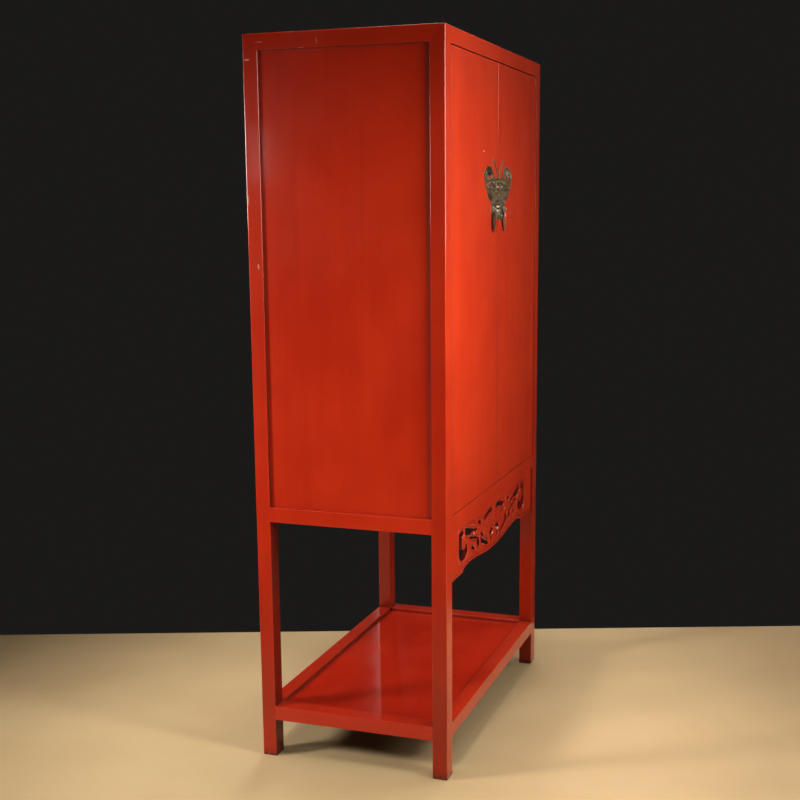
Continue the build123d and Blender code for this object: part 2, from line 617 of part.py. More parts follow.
TORSO = [(0.9, 1507.5), (14.0, 1508.0), (26.0, 1504.5), (32.5, 1495.0), (31.5, 1481.0),
         (26.0, 1467.0), (16.0, 1458.0), (0.9, 1456.0)]
TORSO_RISE = 4.0


def boss(x, z, r, y_face, rise, taper=0.0):
    """Round boss standing out towards -Y from a plane y_face behind the front."""
    with BuildSketch(Plane.XZ.offset(-y_at(y_face))) as disc:
        with Locations((x, z)):
            Circle(r)
    extrude(disc.sketch, amount=rise, taper=taper)


# raised body of the butterfly, half of it on each door
with BuildPart() as butterfly_body:
    with BuildSketch(Plane.XZ.offset(-y_at(PLATE_FACE + 0.5))) as torso:
        with BuildLine():
            Spline(*[(-u, v) for u, v in TORSO])
            Line((-0.9, 1456.0), (-0.9, 1507.5))
        make_face()
    extrude(amount=TORSO_RISE + 0.5)
    crest = butterfly_body.faces().sort_by(Axis.Y)[0]
    fillet(crest.edges().filter_by(GeomType.LINE, reverse=True), 2.5)

with BuildPart() as left_lock_plate:
    with BuildSketch(Plane.XZ.offset(-y_at(FACE_Y))) as wing:
        with BuildLine():
            Spline(*[(-u, v) for u, v in LOWER_WING])
            Spline(*[(-u, v) for u, v in WING_UNDER])
            Spline(*[(-u, v) for u, v in WING_OVER])
            Line((-0.9, 1511.0), (-0.9, 1402.0))
        make_face()
        for u, v, a, b, tilt in WING_HOLES:
            with Locations((-u, v)):
                Ellipse(a, b, rotation=-tilt, mode=Mode.SUBTRACT)
    extrude(amount=PLATE_T)
    with BuildSketch(Plane.XZ.offset(-y_at(FACE_Y))) as feeler:
        with BuildLine():
            Spline(*[(-u, v) for u, v in FEELER])
        trace(line_width=FEELER_W)
        with Locations((-FEELER_KNOB[0], FEELER_KNOB[1])):
            Circle(FEELER_KNOB[2])
    extrude(amount=PLATE_T)
    add(butterfly_body.part)
    bore(-LUG_X, LUG_Z, SHANK_R, PLATE_FACE, FACE_Y, Mode.SUBTRACT)
    bore(-PULL_X, PULL_Z, SHANK_R, PLATE_FACE, FACE_Y, Mode.SUBTRACT)
    for px, pz in PIN_SPOTS:
        bore(px, pz, PIN_R, PLATE_FACE, FACE_Y, Mode.SUBTRACT)
write(left_lock_plate, "left_lock_plate")

with BuildPart() as right_lock_plate:
    mirror(left_lock_plate.part, about=Plane.YZ)
write(right_lock_plate, "right_lock_plate")

with BuildPart() as left_plate_pins:
    for px, pz in PIN_SPOTS:
        bore(px, pz, PIN_R, PLATE_FACE, FACE_Y + 9, Mode.ADD)
        boss(px, pz, 2.3, PLATE_FACE, 1.3, taper=32)
write(left_plate_pins, "left_plate_pins")

with BuildPart() as right_plate_pins:
    mirror(left_plate_pins.part, about=Plane.YZ)
write(right_plate_pins, "right_plate_pins")

# Lock lug: an upright eye that a padlock's bar goes through, on a shank that
# is clenched over a rove inside the door.
EYE_R = 4.0
EYE_OUT = 9.5            # eye's axis in front of the door face
LUG_T = 4.0

with BuildPart() as left_lug:
    with BuildSketch(Plane.YZ.offset(-LUG_X - LUG_T / 2)) as tab:
        with Locations((y_at(FACE_Y - EYE_OUT), LUG_Z)):
            Circle(HARDWARE_OUT - EYE_OUT)
            Circle(EYE_R, mode=Mode.SUBTRACT)
        with Locations((y_at(PLATE_FACE - 1.6), LUG_Z)):
            Rectangle(3.2, 17)
    extrude(amount=LUG_T)
    boss(-LUG_X, LUG_Z, 6.0, PLATE_FACE, 1.2)
    bore(-LUG_X, LUG_Z, SHANK_R, PLATE_FACE, BACK_Y + 3.2, Mode.ADD)
write(left_lug, "left_lug")

with BuildPart() as right_lug:
    mirror(left_lug.part, about=Plane.YZ)
write(right_lug, "right_lug")

# Pull post: round base, two ears and a cross pin that the pendant turns on.
PULL_OUT = 5.8           # pin axis in front of the door face
PULL_PIN_R = 1.2
EAR_IN, EAR_OUT = 4.2, 6.4

with BuildPart() as left_pull_post:
    boss(-PULL_X, PULL_Z, 8.0, PLATE_FACE, 1.0, taper=15)
    for x0 in (-PULL_X - EAR_OUT, -PULL_X + EAR_IN):
        with BuildSketch(Plane.YZ.offset(x0)) as ear:
            with Locations((y_at(FACE_Y - PULL_OUT), PULL_Z)):
                Circle(3.0)
            with Locations((y_at((FACE_Y - PULL_OUT + PLATE_FACE - 0.5) / 2), PULL_Z)):
                Rectangle(PULL_OUT - PLATE_T - 0.5, 6.0)
        extrude(ear.sketch, amount=EAR_OUT - EAR_IN)
    with BuildSketch(Plane.YZ.offset(-PULL_X - EAR_IN)) as cross_pin:
        with Locations((y_at(FACE_Y - PULL_OUT), PULL_Z)):
            Circle(PULL_PIN_R)
    extrude(cross_pin.sketch, amount=2 * EAR_IN)
    bore(-PULL_X, PULL_Z, SHANK_R, PLATE_FACE, BACK_Y + 3.2, Mode.ADD)
write(left_pull_post, "left_pull_post")

with BuildPart() as right_pull_post:
    mirror(left_pull_post.part, about=Plane.YZ)
write(right_pull_post, "right_pull_post")

# Roves under the clenched shanks, inside the door
with BuildPart() as left_washers:
    for x, z in ((-LUG_X, LUG_Z), (-PULL_X, PULL_Z)):
        bore(x, z, 8.0, BACK_Y, BACK_Y + 1.6, Mode.ADD)
        bore(x, z, SHANK_R, BACK_Y, BACK_Y + 1.6, Mode.SUBTRACT)
write(left_washers, "left_washers")

with BuildPart() as right_washers:
    mirror(left_washers.part, about=Plane.YZ)
write(right_washers, "right_washers")

# Hanging pull: a rolled eye on the pin and a flat vase-shaped drop.
DROP = [(3.2, 1429.0), (3.0, 1421.0), (4.2, 1415.5), (9.0, 1411.0), (13.2, 1403.0),
        (14.5, 1393.0), (11.5, 1383.0), (6.0, 1376.5), (3.4, 1371.5), (0.0, 1368.5)]

with BuildPart() as left_pull:
    with BuildSketch(Plane.XZ.offset(-y_at(FACE_Y - PULL_OUT + 1.4))) as drop:
        with BuildLine():
            Spline(*[(-PULL_X + u, v) for u, v in DROP])
            Spline(*[(-PULL_X - u, v) for u, v in DROP])
            Line((-PULL_X - DROP[0][0], DROP[0][1]), (-PULL_X + DROP[0][0], DROP[0][1]))
        make_face()
        with Locations((-PULL_X, 1394)):
            Circle(3.4, mode=Mode.SUBTRACT)
    extrude(amount=1.8)
    with BuildSketch(Plane.YZ.offset(-PULL_X - EAR_IN + 0.3)) as barrel:
        with Locations((y_at(FACE_Y - PULL_OUT), PULL_Z)):
            Circle(2.4)
    extrude(amount=2 * EAR_IN - 0.6)
    with BuildSketch(Plane.YZ.offset(-PULL_X - EAR_IN)) as pin_way:
        with Locations((y_at(FACE_Y - PULL_OUT), PULL_Z)):
            Circle(PULL_PIN_R + 0.05)
    extrude(amount=2 * EAR_IN, mode=Mode.SUBTRACT)
write(left_pull, "left_pull")

with BuildPart() as right_pull:
    mirror(left_pull.part, about=Plane.YZ)
write(right_pull, "right_pull")
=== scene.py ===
import json
import math

import bpy
import numpy as np
from mathutils import Matrix, Vector

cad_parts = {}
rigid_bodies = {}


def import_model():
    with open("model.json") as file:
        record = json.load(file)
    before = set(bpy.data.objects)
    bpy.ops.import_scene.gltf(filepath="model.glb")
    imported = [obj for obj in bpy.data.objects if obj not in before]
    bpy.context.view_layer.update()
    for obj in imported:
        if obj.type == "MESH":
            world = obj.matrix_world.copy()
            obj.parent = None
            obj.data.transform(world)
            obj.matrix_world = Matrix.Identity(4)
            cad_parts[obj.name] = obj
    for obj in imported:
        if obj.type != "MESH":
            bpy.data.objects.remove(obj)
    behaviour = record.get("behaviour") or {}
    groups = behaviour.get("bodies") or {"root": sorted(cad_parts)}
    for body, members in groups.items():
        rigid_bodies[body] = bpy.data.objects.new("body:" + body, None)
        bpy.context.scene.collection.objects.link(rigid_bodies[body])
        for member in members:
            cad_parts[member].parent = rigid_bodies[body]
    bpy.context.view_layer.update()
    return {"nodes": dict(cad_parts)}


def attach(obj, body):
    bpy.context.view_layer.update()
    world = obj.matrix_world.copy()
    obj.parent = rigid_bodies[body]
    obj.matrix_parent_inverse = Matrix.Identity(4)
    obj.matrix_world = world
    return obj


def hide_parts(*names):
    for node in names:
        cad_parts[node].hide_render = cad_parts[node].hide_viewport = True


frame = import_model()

NODES = frame["nodes"]

# ---------------------------------------------------------------------------
# Sizes repeated from the part's source, millimetres.  y is measured from the
# posts' front face.
# ---------------------------------------------------------------------------
FRONT = -249.75
POST_IN = 417.0
LOW_BOT = 641.0
APRON_Y = 7.0
APRON_T = 11.0
FACE_Y = 0.5
PLATE_FACE = -1.5
PULL_Y = -5.3
LUG_X, LUG_Z = 10.0, 1447.0
PULL_X, PULL_Z = 53.0, 1430.0
PIN_SPOTS = [(-51, 1499), (-101, 1486), (-121, 1522), (-34, 1412)]


# ---------------------------------------------------------------------------
# Plane curves and distances
# ---------------------------------------------------------------------------
def curve(points, closed=False, per=10):
    """Points along a smooth cubic through the given ones, chord-length spaced."""
    p = np.array(points, float)
    if closed:
        p = np.vstack([p, p[:1]])
    h = np.maximum(np.hypot(*np.diff(p, axis=0).T), 1e-6)
    n = len(p)
    a = np.zeros((n, n))
    r = np.zeros((n, 2))
    slope = np.diff(p, axis=0) / h[:, None]
    for i in range(1, n - 1):
        a[i, i - 1], a[i, i], a[i, i + 1] = h[i - 1], 2 * (h[i - 1] + h[i]), h[i]
        r[i] = 6 * (slope[i] - slope[i - 1])
    if closed:
        a[0, 0], a[0, 1], a[0, n - 2] = 2 * (h[0] + h[-1]), h[0], h[-1]
        r[0] = 6 * (slope[0] - slope[-1])
        a[n - 1, n - 1], a[n - 1, 0] = 1, -1
    else:
        a[0, 0] = a[n - 1, n - 1] = 1
    m = np.linalg.solve(a, r)
    out = []
    for i in range(n - 1):
        t = np.linspace(0, 1, per, endpoint=False)[:, None]
        u, v = (1 - t), t
        out.append(
            m[i] * (h[i] ** 2) * (u**3 - u) / 6
            + m[i + 1] * (h[i] ** 2) * (v**3 - v) / 6
            + p[i] * u
            + p[i + 1] * v
        )
    out = np.vstack(out)
    return out if closed else np.vstack([out, p[-1:]])


def mirrored(points):
    q = np.array(points, float).copy()
    q[:, 0] *= -1
    return q[::-1]


class Field:
    """A regular grid in the x-z plane, in millimetres."""

    def __init__(self, x0, x1, z0, z1, step):
        nx, nz = int(round((x1 - x0) / step)), int(round((z1 - z0) / step))
        self.x = np.linspace(x0, x1, nx + 1)
        self.z = np.linspace(z0, z1, nz + 1)
        self.X, self.Z = np.meshgrid(self.x, self.z, indexing="ij")

    def window(self, pts, margin):
        lo, hi = pts.min(0) - margin, pts.max(0) + margin
        i0, i1 = np.searchsorted(self.x, lo[0]), np.searchsorted(self.x, hi[0])
        j0, j1 = np.searchsorted(self.z, lo[1]), np.searchsorted(self.z, hi[1])
        return slice(max(i0, 0), max(i1, 0)), slice(max(j0, 0), max(j1, 0))

    def to_segments(self, a, b, far=30.0):
        """Distance to a set of segments, computed near them only."""
        out = np.full(self.X.shape, far)
        a, b = np.asarray(a, float), np.asarray(b, float)
        for k in range(0, len(a), 24):
            aa, bb = a[k:k + 24], b[k:k + 24]
            w = self.window(np.vstack([aa, bb]), far)
            X, Z = self.X[w][..., None], self.Z[w][..., None]
            if X.size == 0:
                continue
            d = bb - aa
            L = np.maximum((d**2).sum(1), 1e-9)
            t = np.clip(((X - aa[:, 0]) * d[:, 0] + (Z - aa[:, 1]) * d[:, 1]) / L, 0, 1)
            q = np.hypot(X - aa[:, 0] - t * d[:, 0], Z - aa[:, 1] - t * d[:, 1]).min(-1)
            out[w] = np.minimum(out[w], q)
        return out

    def to_line(self, pts, far=30.0):
        return self.to_segments(pts[:-1], pts[1:], far)

    def inside(self, pts):
        """Even-odd test against a closed outline."""
        hit = np.zeros(self.X.shape, bool)
        w = self.window(pts, 1.0)
        X, Z = self.X[w], self.Z[w]
        q = np.zeros(X.shape, bool)
        for (xa, za), (xb, zb) in zip(pts, np.roll(pts, -1, axis=0)):
            if za == zb:
                continue
            c = ((za > Z) != (zb > Z)) & (X < (xb - xa) * (Z - za) / (zb - za) + xa)
            q ^= c
        hit[w] = q
        return hit

    def signed(self, pts, far=30.0):
        """Distance to a closed outline, positive inside."""
        d = self.to_line(np.vstack([pts, pts[:1]]), far)
        return np.where(self.inside(pts), d, -d)


def ramp(v, a, b):
    t = np.clip((v - a) / (b - a), 0, 1)
    return t * t * (3 - 2 * t)


def groove(d, half, deep):
    """Depth of a rounded cut along a line at distance d."""
    return deep * np.clip(1 - (d / half) ** 2, 0, 1)


def slab(name, field, sdf, y_front, y_back, body, replaces=(), hollow=None):
    """Closed mesh of the region sdf > 0 between two height maps (mm from the
    posts' front face).  hollow, 0 to 1, says where the front is cut in; it is
    kept on the mesh for the material."""
    hollow = np.zeros(sdf.shape) if hollow is None else hollow
    S = sdf.copy()
    step = field.x[1] - field.x[0]
    small = 0.06 * step
    S[np.abs(S) < small] = small
    ins = S > 0
    nx, nz = S.shape
    vid = -np.ones((nx, nz), int)
    gi, gj = np.nonzero(ins)
    vid[gi, gj] = np.arange(len(gi))
    px, pz = [field.X[gi, gj]], [field.Z[gi, gj]]
    fy, by, ho = [y_front[gi, gj]], [y_back[gi, gj]], [hollow[gi, gj]]
    count = len(gi)
    ex = {}
    for axis in (0, 1):
        A = (slice(0, nx - 1), slice(None)) if axis == 0 else (slice(None), slice(0, nz - 1))
        B = (slice(1, nx), slice(None)) if axis == 0 else (slice(None), slice(1, nz))
        m = ins[A] != ins[B]
        ii, jj = np.nonzero(m)
        sa, sb = S[A][ii, jj], S[B][ii, jj]
        t = sa / (sa - sb)
        for arr, src in ((px, field.X), (pz, field.Z), (fy, y_front), (by, y_back), (ho, hollow)):
            arr.append(src[A][ii, jj] * (1 - t) + src[B][ii, jj] * t)
        for k, (i, j) in enumerate(zip(ii.tolist(), jj.tolist())):
            ex[(axis, i, j)] = count + k
        count += len(ii)
    px, pz, fy, by, ho = (np.concatenate(v) for v in (px, pz, fy, by, ho))
    full = ins[:-1, :-1] & ins[1:, :-1] & ins[1:, 1:] & ins[:-1, 1:]
    fi, fj = np.nonzero(full)
    quads = np.stack([vid[fi, fj], vid[fi + 1, fj], vid[fi + 1, fj + 1], vid[fi, fj + 1]], 1)
    polys = [q for q in quads.tolist()]
    some = (ins[:-1, :-1] | ins[1:, :-1] | ins[1:, 1:] | ins[:-1, 1:]) & ~full
    walls = []
    for i, j in zip(*(v.tolist() for v in np.nonzero(some))):
        corners = ((i, j), (i + 1, j), (i + 1, j + 1), (i, j + 1))
        edges = ((0, i, j), (1, i + 1, j), (0, i, j + 1), (1, i, j))
        poly, kind = [], []
        for k in range(4):
            c, n = corners[k], corners[(k + 1) % 4]
            if ins[c]:
                poly.append(int(vid[c])); kind.append(0)
            if ins[c] != ins[n]:
                poly.append(ex[edges[k]]); kind.append(1 if ins[c] else 2)
        if len(poly) < 3:
            continue
        polys.append(poly)
        for k in range(len(poly)):
            if kind[k] == 1 and kind[(k + 1) % len(poly)] == 2:
                walls.append((poly[k], poly[(k + 1) % len(poly)]))
    n = count
    verts = np.empty((2 * n, 3))
    verts[:n, 0] = verts[n:, 0] = px
    verts[:n, 2] = verts[n:, 2] = pz
    verts[:n, 1] = FRONT + fy
    verts[n:, 1] = FRONT + by
    faces = [tuple(p) for p in polys]
    faces += [tuple(v + n for v in reversed(p)) for p in polys]
    faces += [(b, a, a + n, b + n) for a, b in walls]
    me = bpy.data.meshes.new(name)
    me.from_pydata((verts / 1000.0).tolist(), [], faces)
    me.validate()
    me.shade_smooth()
    me.set_sharp_from_angle(angle=math.radians(38))
    kept = me.attributes.new("hollow", "FLOAT", "POINT")
    kept.data.foreach_set("value", np.concatenate([ho, ho * 0]).astype(np.float32))
    o = bpy.data.objects.new(name, me)
    bpy.context.scene.collection.objects.link(o)
    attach(o, body)
    if replaces:
        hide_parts(*replaces)
    return o


# ---------------------------------------------------------------------------
# Carved apron
# ---------------------------------------------------------------------------
APRON_END = 503.0
APRON_STEP = [(303.0, 503.0), (298.0, 504.5), (292.0, 509.0), (285.0, 512.5)]
APRON_WAVE = [(285.0, 512.5), (250.0, 515.5), (205.0, 514.5), (157.0, 510.5), (88.0, 502.5)]
OPENINGS = [
    # hook at the end
    [(332, 611), (318, 614), (297, 613), (291, 605), (303, 600), (308, 590), (307, 576),
     (302, 567), (291, 562), (281, 563), (276, 570), (267, 573), (260, 566), (261, 550),
     (276, 539), (300, 536), (321, 540), (332, 551), (335, 574), (334, 596)],
    # long leaf above, with a vein of wood left under it
    [(280, 612), (262, 613), (238, 607), (212, 600), (188, 594), (170, 589), (173, 584),
     (190, 587), (205, 590), (222, 590), (238, 588), (256, 592), (277, 600)],
    [(240, 581), (226, 581), (208, 577), (190, 572), (172, 568), (170, 563), (186, 565),
     (206, 569), (226, 574), (240, 577)],
    # bud between the leaves
    [(158, 606), (146, 607), (134, 602), (132, 595), (144, 596), (157, 600)],
    # small cuts over the rim
    [(220, 553), (208, 551), (194, 544), (190, 538), (202, 539), (216, 545), (222, 549)],
    [(170, 562), (161, 565), (151, 558), (148, 546), (152, 537), (163, 538), (171, 548)],
    [(134, 568), (122, 566), (110, 560), (104, 554), (116, 555), (130, 561)],
    [(134, 556), (122, 556), (104, 546), (86, 536), (64, 526), (62, 520), (80, 523),
     (100, 529), (120, 536), (135, 545)],
    [(46, 551), (34, 555), (20, 557), (12, 551), (18, 544), (30, 541), (42, 543)],
    [(35, 533), (28, 535), (24, 528), (27, 519), (34, 522)],
    # over the middle flower
    [(102, 603), (84, 609), (60, 613), (36, 615), (20, 612), (17, 605), (34, 603),
     (56, 601), (80, 596), (98, 595)],
]


STEMS = [
    [(345, 588), (352, 566), (345, 546), (330, 532), (300, 526), (262, 528), (236, 540),
     (226, 556)],
    [(345, 596), (340, 618), (318, 624), (288, 622), (240, 621), (190, 612), (170, 603)],
    [(180, 614), (160, 617), (128, 612), (112, 604)],
    [(262, 592), (250, 574), (254, 558), (246, 545)],
    [(160, 582), (150, 576), (158, 570)],
    [(120, 588), (104, 580), (92, 566), (80, 548), (58, 536)],
    [(88, 580), (66, 586), (48, 580), (52, 566)],
    [(120, 516), (84, 512), (50, 512), (40, 516)],
]


def make_apron():
    f = Field(-419.0, 419.0, 496.0, 643.0, 1.0)
    step = curve(APRON_STEP)
    wave = curve(APRON_WAVE + [(0, 498.5)] + [(-u, v) for u, v in reversed(APRON_WAVE)], per=14)
    bottom = np.vstack([[(POST_IN, APRON_END)], step, wave, mirrored(step), [(-POST_IN, APRON_END)]])
    outline = np.vstack([bottom, [(-POST_IN, LOW_BOT), (POST_IN, LOW_BOT)]])
    body = f.signed(outline)
    below = f.to_line(bottom)
    holes = np.full(f.X.shape, 30.0)
    pared = np.full(f.X.shape, 30.0)
    strokes_a, strokes_b = [], []
    for number, loop in enumerate(OPENINGS):
        c = curve(loop, closed=True, per=8)
        for side in (1, -1):
            q = c * (side, 1)
            hole = -f.signed(q)
            holes = np.minimum(holes, hole)
            if number in (1, 7, 10):
                pared = np.minimum(pared, hole)
            # feathered cuts that lean away from each opening
            t = np.roll(q, -2, axis=0) - np.roll(q, 2, axis=0)
            t /= np.maximum(np.hypot(*t.T)[:, None], 1e-6)
            area = 0.5 * np.sum(q[:, 0] * np.roll(q[:, 1], -1) - np.roll(q[:, 0], -1) * q[:, 1])
            nrm = np.stack([t[:, 1], -t[:, 0]], 1) * (1 if area > 0 else -1)
            arc = np.r_[0, np.cumsum(np.hypot(*np.diff(q, axis=0).T))]
            for s in np.arange(4.0, arc[-1], 6.2):
                k = min(int(np.searchsorted(arc, s)), len(q) - 1)
                lean = nrm[k] * 0.8 + t[k] * 0.6 * side
                strokes_a.append(q[k] + lean * 5.6)
                strokes_b.append(q[k] + lean * 10.5)
    sdf = np.minimum(body, holes)
    s = np.maximum(holes, 0)
    fx, fz = f.X / 1.25, f.Z - 577.5
    flower = np.hypot(fx, fz)
    ang = np.arctan2(fz, fx)
    in_flower = flower < 18.5
    cut = f.to_segments(strokes_a, strokes_b, 6.0)
    d = 1.3 * (1 - np.clip(s / 2.6, 0, 1)) ** 2
    d -= 0.8 * ramp(s, 3, 9) * ramp(below, 8, 15) * ramp(LOW_BOT - f.Z, 14, 26)
    cuts = np.where(in_flower, 0, groove(np.abs(s - 4.2), 1.2, 0.9))
    cuts += np.where(in_flower, 0, groove(cut, 1.1, 0.9 * ramp(s, 4.4, 6.0)))
    # stems that run between the openings
    stems = np.full(f.X.shape, 12.0)
    for line in STEMS:
        for side in (1, -1):
            stems = np.minimum(stems, f.to_line(curve(line) * (side, 1), 12.0))
    cuts += groove(np.abs(stems - 2.8), 1.1, 1.0) * ramp(s, 3.0, 4.5) * (~in_flower)
    # the rim line and the rounded lower edge
    d += 1.6 * (1 - np.clip(below / 2.6, 0, 1)) ** 2
    cuts += groove(np.abs(below - 7.0), 1.3, 1.0)
    # low flower in the middle: three rings of petals round a seeded heart
    bloom = np.zeros_like(f.X)
    for r0, r1, n, turn, high in ((10.5, 18.0, 9, 0.2, 0.5), (5.2, 12.0, 7, 0.0, 1.0),
                                  (0.0, 6.2, 5, 0.5, 1.3)):
        ph = (ang / (2 * math.pi) * n + turn) % 1.0 - 0.5
        lobe = r1 - 2.0 * (2 * np.abs(ph)) ** 2.2
        m = (flower < lobe) & (flower >= r0 - 2)
        cup = high * (0.55 + 0.45 * ramp(flower, r0 - 2, r1)) * (1 - 0.55 * (2 * np.abs(ph)) ** 3)
        edge = ramp(lobe - flower, 0, 1.5)
        bloom = np.where(m, np.maximum(bloom, 0) * (1 - edge) + cup * edge, bloom)
    bloom = np.where(flower < 3.0, 0.9 + 0.5 * np.abs(np.sin(f.X * 1.55) * np.sin(f.Z * 1.9)), bloom)
    d -= np.where(in_flower, bloom, 0)
    cuts += groove(np.abs(flower - 19.5), 1.3, 1.0)
    petals = groove(np.abs(flower - 12.0), 1.0, 0.5) + groove(np.abs(flower - 6.0), 1.0, 0.5)
    ph = (ang / (2 * math.pi) * 9 + 0.2) % 1.0 - 0.5
    petals += groove((0.5 - np.abs(ph)) * 2 * math.pi / 9 * flower, 1.0, 0.6) * (flower > 11)
    cuts += petals * in_flower
    cuts = np.minimum(cuts, 1.3)
    d += cuts
    y = APRON_Y + d
    # the long openings are pared thin from behind
    back = APRON_Y + APRON_T - 4.4 * (1 - ramp(np.maximum(pared, 0), 0.5, 7.0))
    return slab("apron_carving", f, sdf, y, back, "cabinet",
                ("front_apron",), np.clip(cuts / 0.8, 0, 1))


# ---------------------------------------------------------------------------
# Butterfly plate, one half on each door
# ---------------------------------------------------------------------------
TAIL = [(0.9, 1452.0), (12.0, 1447.0), (15.0, 1438.0), (14.0, 1427.0), (11.0, 1415.0),
        (6.5, 1406.5), (0.9, 1404.0)]
LOWER_WING = [
    (0.9, 1402.0), (9.0, 1400.5), (17.0, 1406.0), (24.0, 1399.5), (33.0, 1396.0),
    (42.0, 1401.0), (50.0, 1407.5), (59.0, 1411.0), (66.5, 1419.0), (69.5, 1431.0),
    (68.5, 1442.0), (66.0, 1450.0),
]
WING_UNDER = [
    (66.0, 1450.0), (80.0, 1451.5), (94.0, 1457.5), (105.0, 1466.5), (114.0, 1477.0),
    (123.0, 1486.0), (130.0, 1498.0), (136.0, 1511.0), (144.0, 1519.0),
]
WING_OVER = [
    (144.0, 1519.0), (132.0, 1524.0), (120.0, 1532.0), (106.0, 1538.5), (90.0, 1541.0),
    (75.0, 1541.0), (62.0, 1537.5), (54.0, 1529.0), (47.0, 1519.5), (37.0, 1513.0),
    (24.0, 1510.5), (12.0, 1512.0), (0.9, 1511.0),
]
WING_HOLES = [  # pierced eyes: centre, half length, half width, tilt
    (103.0, 1511.0, 13.0, 4.2, -24.0), (73.0, 1513.0, 9.0, 3.8, -34.0),
    (115.0, 1495.0, 8.0, 3.4, 58.0), (84.0, 1496.0, 9.0, 3.4, -20.0),
    (89.0, 1473.0, 8.0, 3.2, 35.0),
]
FEELER = [(2.5, 1510.0), (12.0, 1521.5), (24.0, 1535.0), (36.0, 1547.0), (47.0, 1555.0)]
FEELER_W = 5.2
FEELER_KNOB = (49.0, 1554.5, 4.8)
TORSO = [(0.9, 1507.5), (14.0, 1508.0), (26.0, 1504.5), (32.5, 1495.0), (31.5, 1481.0),
         (26.0, 1467.0), (16.0, 1458.0), (0.9, 1456.0)]
TORSO_RISE = 4.0
VEINS = [
    [(36, 1503), (58, 1517), (82, 1531), (106, 1534)],
    [(35, 1497), (60, 1504), (92, 1522), (128, 1518)],
    [(34, 1490), (58, 1491), (96, 1501), (126, 1508)],
    [(33, 1482), (56, 1479), (84, 1484), (112, 1480)],
    [(31, 1474), (48, 1464), (70, 1459), (92, 1461)],
    [(22, 1456), (34, 1444), (50, 1441), (66, 1442)],
    [(18, 1440), (26, 1422), (40, 1412), (60, 1414)],
    [(8, 1438), (12, 1422), (20, 1410), (32, 1400)],
]


